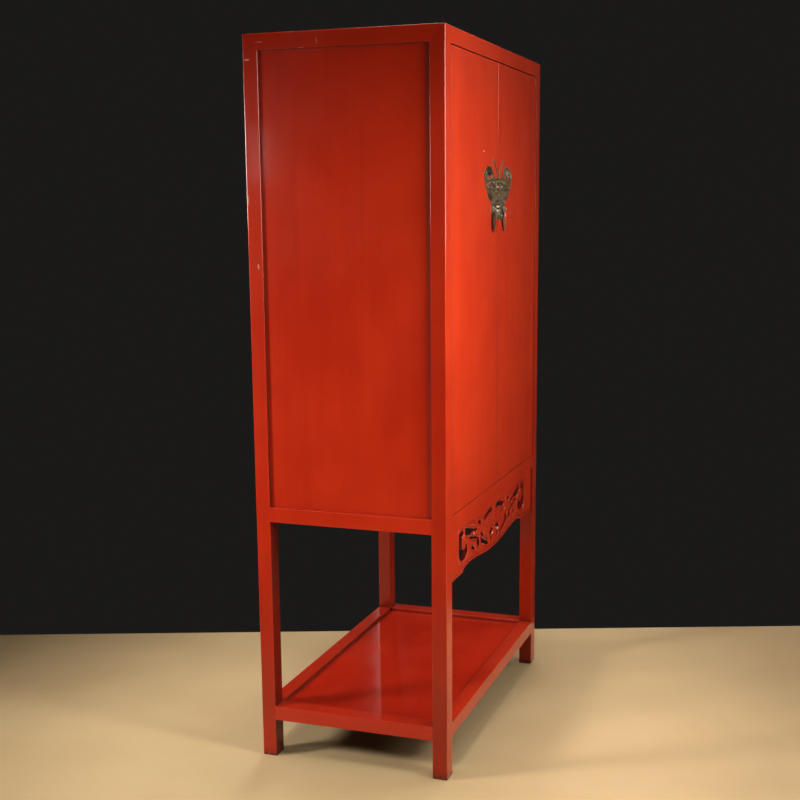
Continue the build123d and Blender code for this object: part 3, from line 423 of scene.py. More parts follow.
def make_plates():
    made = []
    for sign, side in ((-1, "left"), (1, "right")):
        f = Field(-146.0, 0.0, 1393.0, 1562.0, 0.7)
        if sign > 0:
            f = Field(0.0, 146.0, 1393.0, 1562.0, 0.7)
        k = (sign, 1)
        over = np.vstack([curve(LOWER_WING)[:-1], curve(WING_UNDER)[:-1], curve(WING_OVER)]) * k
        wing = f.signed(over)
        rim = wing.copy()
        for u, v, a, b, tilt in WING_HOLES:
            c, s = math.cos(math.radians(tilt)), math.sin(math.radians(tilt))
            X, Z = sign * f.X - u, f.Z - v
            p, q = X * c + Z * s, -X * s + Z * c
            # almond-shaped eye with pointed ends
            w = b * np.clip(1 - (p / a) ** 2, 0, 1)
            e = np.where(np.abs(p) < a, (np.abs(q) - w) * 0.85,
                         np.hypot(np.abs(p) - a, q))
            rim = np.minimum(rim, e)
        feeler = FEELER_W / 2 - f.to_line(curve(FEELER) * k, 12.0)
        knob = FEELER_KNOB[2] - np.hypot(sign * f.X - FEELER_KNOB[0], f.Z - FEELER_KNOB[1])
        feeler = np.maximum(feeler, knob)
        sdf = np.maximum(rim, feeler)
        u = sign * f.X
        # repousse: wings swell between the rim and the veins
        t = 1.0 + 1.2 * ramp(rim, 1.0, 6.0)
        veins = np.full(f.X.shape, 12.0)
        for v in VEINS:
            veins = np.minimum(veins, f.to_line(curve(v, per=8) * k, 12.0))
        t += 0.8 * ramp(3.6 - veins, 0, 3.6) * (rim > 2)
        cuts = groove(veins, 0.95, 0.9) + groove(np.abs(rim - 2.7), 0.95, 0.7) * (u > 2)
        # punched dots between the veins
        dots = np.hypot((f.X + 400) % 4.2 - 2.1, (f.Z) % 4.2 - 2.1)
        cuts += groove(dots, 0.9, 0.5) * ((rim > 5.0) & (veins > 2.6) & (u > 18))
        # feelers are half-round wires
        wire = 0.9 + 1.7 * np.sqrt(np.clip(feeler, 0, 2.4) / 2.4)
        t = np.where((feeler > rim) | (rim < 0), wire, t)
        # raised body with two eyes, a collar and rings across the belly
        hull = curve(TORSO, per=8) * k
        tor = f.signed(np.vstack([hull, [(-4.0 * sign, 1456.0), (-4.0 * sign, 1507.5)]]))
        rise = (TORSO_RISE - 1.3) * np.sqrt(np.clip(1 - (1 - np.clip(tor / 5.0, 0, 1)) ** 2, 0, 1))
        rise += 1.1 * ramp(tor, 4, 20)
        rings = groove(np.abs(f.Z - 1496.5), 1.2, 0.9) * (tor > 2)
        for zr in (1478.0, 1470.5, 1463.5):
            rings += groove(np.abs(f.Z - zr - 0.004 * u * u), 1.1, 0.8) * (tor > 2)
        far = np.hypot(u - 20.5, f.Z - 1487.0)
        rise += 1.4 * np.sqrt(np.clip(1 - (far / 4.4) ** 2, 0, 1))
        rings += groove(np.abs(far - 5.6), 1.1, 1.0)
        t = np.where(tor > 0, np.maximum(t, 2.0) + rise, t)
        cuts = np.where(tor > 0, rings, cuts)
        # ringed tail between the lower wings
        hull = curve(TAIL, per=8) * k
        tail = f.signed(np.vstack([hull, [(-4.0 * sign, 1404.0), (-4.0 * sign, 1452.0)]]))
        bands = np.zeros(f.X.shape)
        for zr in (1441.5, 1431.5, 1421.5, 1412.0):
            bands += groove(np.abs(f.Z - zr + 0.010 * u * u), 1.7, 1.5)
        rise = 2.4 * np.sqrt(np.clip(1 - (1 - np.clip(tail / 5.0, 0, 1)) ** 2, 0, 1))
        t = np.where(tail > 0, np.maximum(t, 1.9) + rise, t)
        cuts = np.where(tail > 0, bands, cuts)
        # flat seats under the nails, the lug and the pull
        for sx, sz, r in [(-x, z, 3.4) for x, z in PIN_SPOTS] + [(LUG_X, LUG_Z, 7.5),
                                                                  (PULL_X, PULL_Z, 9.5)]:
            m = ramp(r + 2.5 - np.hypot(u - sx, f.Z - sz), 0, 2.5)
            t = t * (1 - m) + 2.0 * m
            cuts = cuts * (1 - m)
            cuts += groove(np.abs(np.hypot(u - sx, f.Z - sz) - (r + 1.2)), 0.8, 0.4)
        cuts = np.minimum(cuts, 1.5) * (sdf > 0.6)
        t -= np.minimum(cuts, np.maximum(t - 0.7, 0))
        y = FACE_Y - np.maximum(t, 0.6)
        o = slab(f"{side}_butterfly", f, sdf, y, np.full_like(y, FACE_Y), f"{side}_door",
                 (f"{side}_lock_plate",), np.clip(cuts / 0.75, 0, 1))
        made.append(o)
    return made


# ---------------------------------------------------------------------------
# Hanging pulls
# ---------------------------------------------------------------------------
DROP = [(3.2, 1429.0), (3.0, 1421.0), (4.2, 1415.5), (9.0, 1411.0), (13.2, 1403.0),
        (14.5, 1393.0), (11.5, 1383.0), (6.0, 1376.5), (3.4, 1371.5), (0.0, 1368.5)]


def lathe(profile, centre, axis_x=True, n=28):
    """Ring mesh turned about an X line; profile gives (x, radius) in mm, closed."""
    v, faces = [], []
    m = len(profile)
    for k in range(n):
        a = 2 * math.pi * k / n
        for x, r in profile:
            v.append((centre[0] + x, FRONT + centre[1] + r * math.cos(a), centre[2] + r * math.sin(a)))
    for k in range(n):
        for i in range(m):
            a, b = k * m + i, k * m + (i + 1) % m
            c, d = ((k + 1) % n) * m + (i + 1) % m, ((k + 1) % n) * m + i
            faces.append((a, b, c, d))
    return v, faces


def make_pulls():
    for sign, side in ((-1, "left"), (1, "right")):
        cx = sign * PULL_X
        f = Field(cx - 16.0, cx + 16.0, 1367.0, 1431.0, 0.5)
        half = curve(DROP)
        out = np.vstack([half, mirrored(half)]) + (cx, 0)
        sdf = f.signed(out)
        # heart-shaped piercing
        X, Z = f.X - cx, f.Z - 1394.0
        hole = 3.3 - np.hypot(X * (1 + 0.05 * Z), Z * 0.82)
        sdf2 = np.minimum(sdf, -hole)
        bulge = 0.55 * ramp(sdf2, 0.3, 4.0)
        rim = groove(np.abs(sdf2 - 2.0), 0.55, 0.35)
        rays = groove(np.abs((np.arctan2(Z + 2, X) / (2 * math.pi) * 18) % 1.0 - 0.5)
                      * np.hypot(X, Z) * 0.35, 0.5, 0.3) * ramp(np.hypot(X, Z), 5.2, 6.5) * (sdf2 > 2.8)
        t = 0.45 + bulge - rim - rays
        for zc, r in ((1413.0, 2.1), (1419.5, 1.3)):
            t = np.maximum(t, 0.4 + 1.5 * np.sqrt(np.clip(1 - ((f.Z - zc) / r) ** 2, 0, 1)) * (sdf2 > 0.2)
                           * (np.abs(f.Z - zc) < r))
        mid = PULL_Y + 0.5
        y = mid - np.maximum(t, 0.25)
        yb = mid + np.maximum(0.5 + 0.35 * ramp(sdf2, 0.3, 4.0), 0.25)
        o = slab(f"{side}_pendant", f, sdf2, y, yb, f"{side}_pull",
                 (f"{side}_pull",))
        # rolled eye
        prof = [(-3.8, 1.3), (-3.8, 2.05), (-3.4, 2.38), (-2.2, 2.38), (-1.9, 2.15), (-1.6, 2.38),
                (1.6, 2.38), (1.9, 2.15), (2.2, 2.38), (3.4, 2.38), (3.8, 2.05), (3.8, 1.3)]
        v, faces = lathe(prof, (cx, PULL_Y, PULL_Z))
        me = bpy.data.meshes.new(f"{side}_pendant_eye")
        me.from_pydata([tuple(c / 1000.0 for c in p) for p in v], [], faces)
        me.validate()
        me.shade_smooth()
        me.set_sharp_from_angle(angle=math.radians(40))
        e = bpy.data.objects.new(f"{side}_pendant_eye", me)
        bpy.context.scene.collection.objects.link(e)
        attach(e, f"{side}_pull")


# ---------------------------------------------------------------------------
# Materials
# ---------------------------------------------------------------------------
class Mat:
    def __init__(self, name):
        self.m = bpy.data.materials.new(name)
        self.m.use_nodes = True
        self.t = self.m.node_tree
        self.t.nodes.clear()
        self.out = self.t.nodes.new("ShaderNodeOutputMaterial")
        self.bsdf = self.t.nodes.new("ShaderNodeBsdfPrincipled")
        self.link(self.bsdf.outputs[0], self.out.inputs["Surface"])
        self.co = self.t.nodes.new("ShaderNodeTexCoord")

    def link(self, a, b):
        self.t.links.new(a, b)

    def put(self, sock, v):
        if isinstance(v, bpy.types.NodeSocket):
            self.link(v, sock)
        elif isinstance(v, (tuple, list)) and len(v) == 3 and sock.type == "RGBA":
            sock.default_value = (*v, 1.0)
        else:
            sock.default_value = v

    def math(self, op, a, b=0.0, c=0.0, clamp=False):
        n = self.t.nodes.new("ShaderNodeMath")
        n.operation, n.use_clamp = op, clamp
        for s, v in zip(n.inputs, (a, b, c)):
            self.put(s, v)
        return n.outputs[0]

    def ramp(self, v, a, b, lo=0.0, hi=1.0):
        n = self.t.nodes.new("ShaderNodeMapRange")
        n.interpolation_type = "SMOOTHSTEP"
        n.clamp = True
        self.put(n.inputs["Value"], v)
        for k, x in (("From Min", a), ("From Max", b), ("To Min", lo), ("To Max", hi)):
            n.inputs[k].default_value = x
        return n.outputs[0]

    def mix(self, f, a, b, mode="MIX"):
        n = self.t.nodes.new("ShaderNodeMix")
        n.data_type, n.blend_type = "RGBA", mode
        n.clamp_factor = True
        self.put(n.inputs[0], f)
        self.put(n.inputs[6], a)
        self.put(n.inputs[7], b)
        return n.outputs[2]

    def mapping(self, scale=(1, 1, 1), loc=(0, 0, 0), rot=(0, 0, 0), src=None):
        n = self.t.nodes.new("ShaderNodeMapping")
        self.put(n.inputs["Vector"], src or self.co.outputs["Object"])
        n.inputs["Scale"].default_value = scale
        n.inputs["Location"].default_value = loc
        n.inputs["Rotation"].default_value = rot
        return n.outputs[0]

    def noise(self, scale, detail=3.0, rough=0.5, vec=None, distortion=0.0):
        n = self.t.nodes.new("ShaderNodeTexNoise")
        self.put(n.inputs["Vector"], vec if vec is not None else self.co.outputs["Object"])
        n.inputs["Scale"].default_value = scale
        n.inputs["Detail"].default_value = detail
        n.inputs["Roughness"].default_value = rough
        n.inputs["Distortion"].default_value = distortion
        return n.outputs["Fac"]

    def voronoi(self, scale, vec=None, feature="F1", rand=1.0):
        n = self.t.nodes.new("ShaderNodeTexVoronoi")
        n.feature = feature
        self.put(n.inputs["Vector"], vec if vec is not None else self.co.outputs["Object"])
        n.inputs["Scale"].default_value = scale
        n.inputs["Randomness"].default_value = rand
        return n

    def split(self, vec):
        n = self.t.nodes.new("ShaderNodeSeparateXYZ")
        self.put(n.inputs[0], vec)
        return n.outputs

    def hollow(self):
        n = self.t.nodes.new("ShaderNodeAttribute")
        n.attribute_name = "hollow"
        return n.outputs["Fac"]

    def patch(self, x, z, half, tall, ragged=1.0):
        """1 inside a ragged oval round a point of the front, millimetres."""
        pos = self.split(self.co.outputs["Object"])
        du = self.math("MULTIPLY", self.math("SUBTRACT", pos[0], x / 1000.0), 1000.0 / half)
        dz = self.math("MULTIPLY", self.math("SUBTRACT", pos[2], z / 1000.0), 1000.0 / tall)
        far = self.math("SQRT", self.math("ADD", self.math("MULTIPLY", du, du),
                                          self.math("MULTIPLY", dz, dz)))
        if not hasattr(self, "rag"):
            self.rag = self.math("SUBTRACT", self.noise(130.0, 3.0, 0.6), 0.5)
        far = self.math("ADD", far, self.math("MULTIPLY", self.rag, ragged))
        return self.ramp(far, 1.15, 0.65)

    def edges(self, lo=0.04, hi=0.24):
        """1 on rounded edges, 0 on faces square to an axis."""
        n = self.t.nodes.new("ShaderNodeVectorMath")
        n.operation = "ABSOLUTE"
        self.put(n.inputs[0], self.co.outputs["Normal"])
        x, y, z = self.split(n.outputs[0])
        top = self.math("MAXIMUM", self.math("MAXIMUM", x, y), z)
        return self.ramp(self.math("SUBTRACT", 1.0, top), lo, hi)

    def ao(self, distance, samples=6):
        n = self.t.nodes.new("ShaderNodeAmbientOcclusion")
        n.samples = samples
        n.inputs["Distance"].default_value = distance
        return n.outputs["AO"]

    def bump(self, height, strength, distance=0.001, normal=None):
        n = self.t.nodes.new("ShaderNodeBump")
        n.inputs["Strength"].default_value = strength
        n.inputs["Distance"].default_value = distance
        self.put(n.inputs["Height"], height)
        if normal is not None:
            self.put(n.inputs["Normal"], normal)
        return n.outputs[0]

    def finish(self, color, rough, normal=None, metallic=0.0, **fixed):
        b = self.bsdf.inputs
        self.put(b["Base Color"], color)
        self.put(b["Roughness"], rough)
        self.put(b["Metallic"], metallic)
        if normal is not None:
            self.put(b["Normal"], normal)
        for k, v in fixed.items():
            b[k].default_value = v
        return self.m


LONG = {"x": (1.1, 34, 34), "y": (34, 1.1, 34), "z": (34, 34, 1.1)}
FINE = {"x": (3.2, 210, 210), "y": (210, 3.2, 210), "z": (210, 210, 3.2)}


def lacquer(name, run="z", deep=(0.490, 0.0235, 0.0066), high=(0.585, 0.0325, 0.0090),
            wear=1.0, carved=False, inside=False, shade=None, depth=0.5, marks=(),
            under=False, post=False, coat=0.30, mark_strength=0.85, gloss=0.17, polish=0.09,
            top_shade=False, corner_shade_depth=0.62):
    """Old red lacquer brushed along one direction, with wear and chips on its edges,
    and with painted shade in corners and recesses.
    shade(m) tells where painted shade and shadow darken the colour; marks are
    knocks in the paint, some of them painted highlights, as
    (first coordinate, height, half width, half height) in the plane of the run
    of the piece, millimetres."""
    m = Mat(name)
    blotch = m.noise(2.3, 3.0, 0.55)
    cloud = m.noise(9.0, 4.0, 0.6)
    streak = m.noise(1.0, 3.0, 0.55, vec=m.mapping(LONG[run]))
    hair = m.noise(1.0, 2.0, 0.5, vec=m.mapping(FINE[run]))
    tone = m.math("ADD", m.math("MULTIPLY", blotch, 0.55),
                  m.math("ADD", m.math("MULTIPLY", cloud, 0.25), m.math("MULTIPLY", streak, 0.20)))
    color = m.mix(m.ramp(tone, 0.36, 0.64), deep, high)
    # darker hair lines where the brush dragged and the grain shows through
    lines = m.ramp(hair, 0.60, 0.74)
    color = m.mix(m.math("MULTIPLY", lines, 0.09), color, (0.20, 0.008, 0.003))
    # painted light: faces turned to the front are tinted towards orange, a warm-light tint
    front_warm_tint = m.ramp(m.split(m.co.outputs["Normal"])[1], -0.35, -0.9)
    color = m.mix(front_warm_tint, color, m.mix(1.0, color, (0.99, 1.26, 1.12), "MULTIPLY"))
    # painted shade: darker in corners and recesses, from ambient occlusion
    ao = m.ao(0.030 if not carved else 0.012)
    corner_shade = m.ramp(ao, 0.95, 0.35) if not carved else m.ramp(ao, 0.85, 0.25)
    color = m.mix(m.math("MULTIPLY", corner_shade, corner_shade_depth if not carved else 0.8), color,
                  (0.075, 0.006, 0.004))
    # painted shade and shadow from the shade mask, towards near-black red
    if shade:
        shade_mask = shade(m)
        color = m.mix(m.math("MULTIPLY", shade_mask, depth), color, (0.130, 0.007, 0.003))
    if carved:
        # painted shade: the cut walls of the piercings are darkened nearly to black, more on the left half
        # than the right
        wall = m.ramp(m.math("ABSOLUTE", m.split(m.co.outputs["Normal"])[1]), 0.55, 0.22)
        along = m.ramp(m.split(m.co.outputs["Object"])[0], -0.05, 0.14, 0.86, 0.52)
        color = m.mix(m.math("MULTIPLY", wall, along), color, (0.036, 0.0035, 0.002))
        # painted light: the cut walls round one spot left of the middle (x -58 mm, z 606 mm) are lightened
        # as if lit
        lit_walls = m.math("MULTIPLY", wall, m.patch(-58, 606, 62, 18, 0.4))
        color = m.mix(m.math("MULTIPLY", lit_walls, 0.70), color, (0.34, 0.020, 0.006))
        # painted shade in the carved cuts, darker where the hollow attribute says the front is cut in
        cut_shade = m.hollow()
        color = m.mix(m.math("MULTIPLY", cut_shade, 0.72), color, (0.085, 0.006, 0.003))
    if post:
        # painted shade on left-facing faces of the front-left post, of the right-hand legs below 0.8 m and
        # of every leg below 0.62 m, and on the front faces of the right-hand posts
        px, py, pz = m.split(m.co.outputs["Object"])
        left = m.ramp(m.split(m.co.outputs["Normal"])[0], -0.3, -0.7)
        near = m.math("MULTIPLY", m.math("MULTIPLY", m.ramp(py, -0.15, -0.22), m.ramp(px, 0.0, -0.2)), left)
        far = m.math("MULTIPLY", m.math("MULTIPLY", m.ramp(pz, 0.80, 0.55), m.ramp(px, 0.0, 0.2)), left)
        low = m.math("MULTIPLY", m.ramp(pz, 0.62, 0.06), left)
        turned = m.math("MULTIPLY", m.ramp(m.split(m.co.outputs["Normal"])[1], -0.5, -0.9),
                        m.ramp(px, 0.30, 0.40))
        post_shade = m.math("ADD", m.math("MULTIPLY", near, 0.24),
                      m.math("ADD", m.math("MULTIPLY", far, 0.50), m.math("MULTIPLY", low, 0.50)))
        post_shade = m.math("ADD", post_shade, m.math("MULTIPLY", turned, 0.30))
        post_shade = m.math("MINIMUM", post_shade, 0.75)
        color = m.mix(post_shade, color, m.mix(1.0, color, (0.5, 0.5, 0.5), "MULTIPLY"))
        # painted shade on the front-facing face of the back-left post, inside the side recess
        inner = m.math("MULTIPLY", m.ramp(m.split(m.co.outputs["Normal"])[1], -0.5, -0.9),
                       m.math("MULTIPLY", m.ramp(py, 0.20, 0.22), m.ramp(px, -0.40, -0.41)))
        color = m.mix(m.math("MULTIPLY", inner, 0.80), color, (0.045, 0.006, 0.004))
    if top_shade:
        # painted shade: left-facing faces darker towards the top
        high_up = m.math("MULTIPLY", m.ramp(m.split(m.co.outputs["Object"])[2], 1.58, 1.86),
                         m.ramp(m.split(m.co.outputs["Normal"])[0], -0.3, -0.7))
        color = m.mix(m.math("MULTIPLY", high_up, 0.5), color,
                      m.mix(1.0, color, (0.48, 0.38, 0.38), "MULTIPLY"))
    # edges: rubbed lighter, and bare here and there
    edge = m.edges()
    patch = m.noise(16.0, 5.0, 0.65)
    rubbed = m.math("MULTIPLY", edge, m.ramp(patch, 0.42, 0.62))
    color = m.mix(m.math("MULTIPLY", rubbed, 0.30 * wear), color, (0.70, 0.070, 0.028))
    fine_patch = m.noise(70.0, 4.0, 0.7)
    bare = m.math("MULTIPLY", edge, m.ramp(
        m.math("ADD", m.math("MULTIPLY", patch, 0.5), m.math("MULTIPLY", fine_patch, 0.5)),
        0.600 if not carved else 0.64, 0.625 if not carved else 0.67))
    color = m.mix(m.math("MULTIPLY", bare, 0.85 * wear), color, (0.46, 0.20, 0.11))
    # a few small chips on the flats
    cell = m.voronoi(5.2)
    r = m.math("ADD", cell.outputs["Distance"], m.math("MULTIPLY", m.noise(190.0, 2.0), 0.020))
    pick = m.math("GREATER_THAN", m.split(cell.outputs["Color"])[0], 0.70)
    chip = m.math("MULTIPLY", m.ramp(r, 0.0265, 0.0215), pick)
    color = m.mix(m.math("MULTIPLY", chip, 0.8 * wear), color, (0.62, 0.22, 0.13))
    # knocks in the paint, and some painted highlights, at the given marks
    for a, zz, half, tall in marks:
        pos = m.split(m.co.outputs["Object"])
        du = m.math("MULTIPLY", m.math("SUBTRACT", pos[0 if run == "x" or inside else 1], a / 1000.0),
                    1000.0 / half)
        dz = m.math("MULTIPLY", m.math("SUBTRACT", pos[2], zz / 1000.0), 1000.0 / tall)
        dist = m.math("SQRT", m.math("ADD", m.math("MULTIPLY", du, du), m.math("MULTIPLY", dz, dz)))
        dist = m.math("ADD", dist, m.math("MULTIPLY", m.math("SUBTRACT", fine_patch, 0.5), 1.9))
        mark_mask = m.math("MULTIPLY", m.ramp(dist, 1.1, 0.75), mark_strength)
        if run != "x" and not inside:
            mark_mask = m.math("MULTIPLY", mark_mask, m.ramp(pos[0], -0.40, -0.44))
        color = m.mix(mark_mask, color, (0.80, 0.40, 0.28))
    # the lowest 16 mm darkened in patches
    z = m.split(m.co.outputs["Object"])[2]
    foot = m.math("MULTIPLY", m.ramp(z, 0.016, 0.0),
                  m.ramp(m.noise(60.0, 4.0, 0.6), 0.35, 0.6))
    color = m.mix(m.math("MULTIPLY", foot, 0.75), color, (0.05, 0.022, 0.014))
    if under:
        down = m.ramp(m.split(m.co.outputs["Normal"])[2], -0.5, -0.9)
        down = m.math("MULTIPLY", down, m.ramp(z, 0.020, 0.050))
        color = m.mix(down, color, (0.030, 0.017, 0.011))
    if inside:
        x, y, zz = m.split(m.co.outputs["Object"])
        nx, ny, nz = m.split(m.co.outputs["Normal"])
        facing = m.math("ADD", m.math("MULTIPLY", x, nx), m.math("MULTIPLY", y, ny))
        back = m.ramp(facing, -0.05, -0.12)
        grain = m.noise(1.0, 4.0, 0.6, vec=m.mapping((22, 22, 1.4) if run == "z" else (1.4, 22, 22)))
        brown = m.mix(m.ramp(grain, 0.35, 0.68), (0.040, 0.018, 0.010), (0.115, 0.052, 0.026))
        color = m.mix(back, color, brown)
    smear = m.noise(5.0, 4.0, 0.6)
    rough = m.math("ADD", m.math("MULTIPLY", m.ramp(smear, 0.3, 0.7), 0.10),
                   m.math("ADD", gloss, m.math("MULTIPLY", bare, 0.35)))
    rough = m.math("ADD", rough, m.math("MULTIPLY", corner_shade, 0.2))
    if shade:
        heavy_shade = m.ramp(shade_mask, 0.35, 1.0)
        rough = m.math("ADD", rough, m.math("MULTIPLY", heavy_shade, 0.45))
    if inside:
        rough = m.math("ADD", rough, m.math("MULTIPLY", back, 0.35))
    wave = m.noise(11.0, 2.0, 0.4)
    peel = m.noise(420.0, 2.0, 0.5)
    h = m.math("ADD", m.math("MULTIPLY", wave, 1.1), m.math("MULTIPLY", streak, 0.35))
    h = m.math("ADD", h, m.math("ADD", m.math("MULTIPLY", hair, 0.10), m.math("MULTIPLY", peel, 0.03)))
    h = m.math("SUBTRACT", h, m.math("ADD", m.math("MULTIPLY", chip, 0.3), m.math("MULTIPLY", bare, 0.12)))
    nrm = m.bump(h, 0.55, 0.0012)
    if shade:
        m.put(m.bsdf.inputs["Coat Weight"], m.ramp(heavy_shade, 0.0, 1.0, coat, 0.0))
    return m.finish(color, rough, nrm, **{"Coat Weight": coat, "Coat Roughness": polish,
                                          "Specular IOR Level": 0.28})


def brass(name, dark=(0.026, 0.016, 0.010), mid=(0.165, 0.122, 0.058), light=(0.46, 0.38, 0.23),
          shine=0.40, silver=0.0, patches=(), metal=0.90, spec=0.5):
    """Old brass, brown-green in the hollows and rubbed on what stands out."""
    m = Mat(name)
    a = m.noise(55.0, 4.0, 0.6)
    b = m.noise(240.0, 3.0, 0.6)
    dull = tuple(0.45 * p + 0.55 * q for p, q in zip(dark, mid))
    color = m.mix(m.ramp(a, 0.30, 0.70), dull, mid)
    green = m.ramp(m.noise(28.0, 4.0, 0.6), 0.50, 0.68)
    color = m.mix(m.math("MULTIPLY", green, 0.28), color, (0.085, 0.096, 0.050))
    # patches: patina tones, and on the plate and the right pendant also painted highlights, reflections and
    # shadows
    for x, z, half, tall, tone, much in patches:
        color = m.mix(m.math("MULTIPLY", m.patch(x, z, half, tall), much), color, tone)
    ao = m.ao(0.006, 8)
    hollow = m.ramp(ao, 0.85, 0.35)
    color = m.mix(m.math("MULTIPLY", hollow, 0.75), color, (0.018, 0.014, 0.010))
    color = m.mix(m.math("MULTIPLY", m.hollow(), 0.88), color, (0.012, 0.009, 0.006))
    g = m.t.nodes.new("ShaderNodeNewGeometry")
    rub = m.ramp(g.outputs["Pointiness"], 0.515, 0.60)
    rub = m.math("MULTIPLY", rub, m.ramp(b, 0.30, 0.55))
    color = m.mix(m.math("MULTIPLY", rub, 0.75), color, light)
    if silver:
        color = m.mix(m.math("MULTIPLY", m.ramp(a, 0.40, 0.60), silver), color, (0.46, 0.44, 0.40))
    pit = m.voronoi(420.0)
    pits = m.ramp(pit.outputs["Distance"], 0.35, 0.05)
    rough = m.math("ADD", shine, m.math("MULTIPLY", m.ramp(a, 0.3, 0.7), 0.20))
    rough = m.math("ADD", rough, m.math("MULTIPLY", hollow, 0.15))
    h = m.math("SUBTRACT", m.math("MULTIPLY", b, 0.6), m.math("MULTIPLY", pits, 0.5))
    nrm = m.bump(h, 0.35, 0.0004)
    return m.finish(color, rough, nrm, metallic=m.ramp(hollow, 0.0, 1.0, metal, 0.5 * metal),
                    **{"Specular IOR Level": spec})


def stile_edge_shade(m):
    """Painted shade along the rounded outer edge of a door, damping its highlight; full on the left door,
    0.45 on the right.
    """
    x = m.split(m.co.outputs["Object"])[0]
    return m.math("MULTIPLY", m.ramp(m.math("ABSOLUTE", x), 0.4072, 0.4105),
                  m.ramp(x, 0.10, -0.10, 0.45, 1.0))


def meeting_edge_shade(m):
    """Painted shade along the lower part of the edge where the doors meet."""
    x, y, z = m.split(m.co.outputs["Object"])
    return m.math("MULTIPLY", m.ramp(m.math("ABSOLUTE", x), 0.0026, 0.0016), m.ramp(z, 1.69, 1.60))


def shelf_gap_shadow(m):
    """Painted shadow in the gaps round the shelf panel, and painted shade darkening its left end."""
    x, y, z = m.split(m.co.outputs["Object"])
    mid = (FRONT + 257.5) / 1000.0
    dx = m.ramp(m.math("ABSOLUTE", x), 0.4090, 0.4130)
    dy = m.ramp(m.math("ABSOLUTE", m.math("SUBTRACT", y, mid)), 0.2105, 0.2145)
    left_end_shade = m.math("MULTIPLY", m.ramp(x, -0.10, -0.40), m.ramp(y, 0.30, 0.0, 0.20, 0.34))
    return m.math("MAXIMUM", m.math("MAXIMUM", dx, dy), left_end_shade)


def panel_post_shadow(m):
    """Painted shadow beside the front post, in the corner of the side panel's recess."""
    y = m.split(m.co.outputs["Object"])[1]
    near = (FRONT + 39.0) / 1000.0
    return m.ramp(y, near + 0.0135, near + 0.0095)


def dark_wood(name, run="x", a=(0.045, 0.022, 0.012), b=(0.135, 0.068, 0.034)):
    """Dry brown wash over softwood boards."""
    m = Mat(name)
    s = {"x": (1.3, 18, 18), "y": (18, 1.3, 18), "z": (18, 18, 1.3)}[run]
    f = {"x": (8, 260, 260), "y": (260, 8, 260), "z": (260, 260, 8)}[run]
    warp = m.noise(1.0, 3.0, 0.5, vec=m.mapping(s), distortion=0.6)
    rings = m.math("FRACT", m.math("MULTIPLY", warp, 9.0))
    rings = m.math("ABSOLUTE", m.math("SUBTRACT", rings, 0.5))
    pores = m.noise(1.0, 2.0, 0.6, vec=m.mapping(f))
    tone = m.math("ADD", m.math("MULTIPLY", rings, 0.8), m.math("MULTIPLY", pores, 0.6))
    color = m.mix(m.ramp(tone, 0.25, 0.85), a, b)
    blot = m.noise(6.0, 4.0, 0.6)
    color = m.mix(m.math("MULTIPLY", m.ramp(blot, 0.45, 0.7), 0.4), color, (0.028, 0.015, 0.010))
    ao = m.ao(0.03)
    color = m.mix(m.math("MULTIPLY", m.ramp(ao, 0.9, 0.3), 0.6), color, (0.012, 0.007, 0.005))
    h = m.math("ADD", m.math("MULTIPLY", rings, 0.5), m.math("MULTIPLY", pores, 0.8))
    rough = m.ramp(tone, 0.2, 0.9, 0.62, 0.80)
    return m.finish(color, rough, m.bump(h, 0.5, 0.0006), **{"Specular IOR Level": 0.3})


def dress(names, mat):
    for n in names:
        o = NODES.get(n) or bpy.data.objects[n]
        if not o.data.materials:
            o.data.materials.append(mat)
        for s in o.material_slots:
            s.material = mat


def bevel(names, width, angle=35):
    for n in names:
        o = NODES[n]
        w = o.modifiers.new("weld", "WELD")
        w.merge_threshold = 1e-6
        b = o.modifiers.new("bevel", "BEVEL")
        b.width, b.segments, b.limit_method = width, 2, "ANGLE"
        b.angle_limit = math.radians(angle)
        b.harden_normals = False


make_apron()
make_plates()
make_pulls()

# its second mark, on the back-left post's outer back arris, is a pale knock that also stands in for a
# painted highlight
red_z = lacquer("lacquer_upright", "z", post=True, mark_strength=0.6, top_shade=True,
                marks=[(FRONT + 505, 1789, 9, 2.2), (FRONT + 511, 1456, 3, 12),
                       (FRONT + 488, 1293, 2.5, 7)])
red_x = lacquer("lacquer_across", "x", under=True)
red_y = lacquer("lacquer_depth", "y", under=True, mark_strength=0.32, top_shade=True,
                marks=[(FRONT + 472, 1829, 10, 1.3), (FRONT + 361, 1811, 10, 1.1),
                       (FRONT + 320, 1827, 1.3, 9)])
red_panel = lacquer("lacquer_panel", "z", inside=True, wear=0.7, shade=panel_post_shadow, depth=0.45,
                    top_shade=True, corner_shade_depth=0.34)
red_board = lacquer("lacquer_door", "z", inside=True, wear=0.7, shade=meeting_edge_shade, depth=0.80,
                    marks=[(-137, 1576, 5.5, 2.4)])
# its mark at x 409 mm, z 1790 mm is a painted highlight on the right door's outer edge
red_stile = lacquer("lacquer_stile", "z", inside=True, wear=0.7, shade=stile_edge_shade, depth=0.70,
                    coat=0.12, marks=[(409, 1790, 3.0, 14)])
red_shelf = lacquer("lacquer_shelf", "x", (0.520, 0.0190, 0.0042), (0.620, 0.0265, 0.0060),
                    wear=1.0, shade=shelf_gap_shadow, depth=0.75, under=True, gloss=0.11, polish=0.055)
red_top = lacquer("lacquer_top", "x", wear=0.8)
# the pale marks at the piercings' rims are knocks in the paint that also stand in for painted highlights
red_carved = lacquer("lacquer_carved", "x", carved=True, wear=0.6,
                     marks=[(-112, 533, 8, 2.6), (-200, 583, 7, 2.4), (36, 540, 8, 2.6),
                            (-18, 540, 6, 2.4), (112, 580, 6, 2.2), (-212, 546, 5, 2.0)])
BLACK, CREAM = (0.008, 0.005, 0.003), (0.80, 0.66, 0.53)
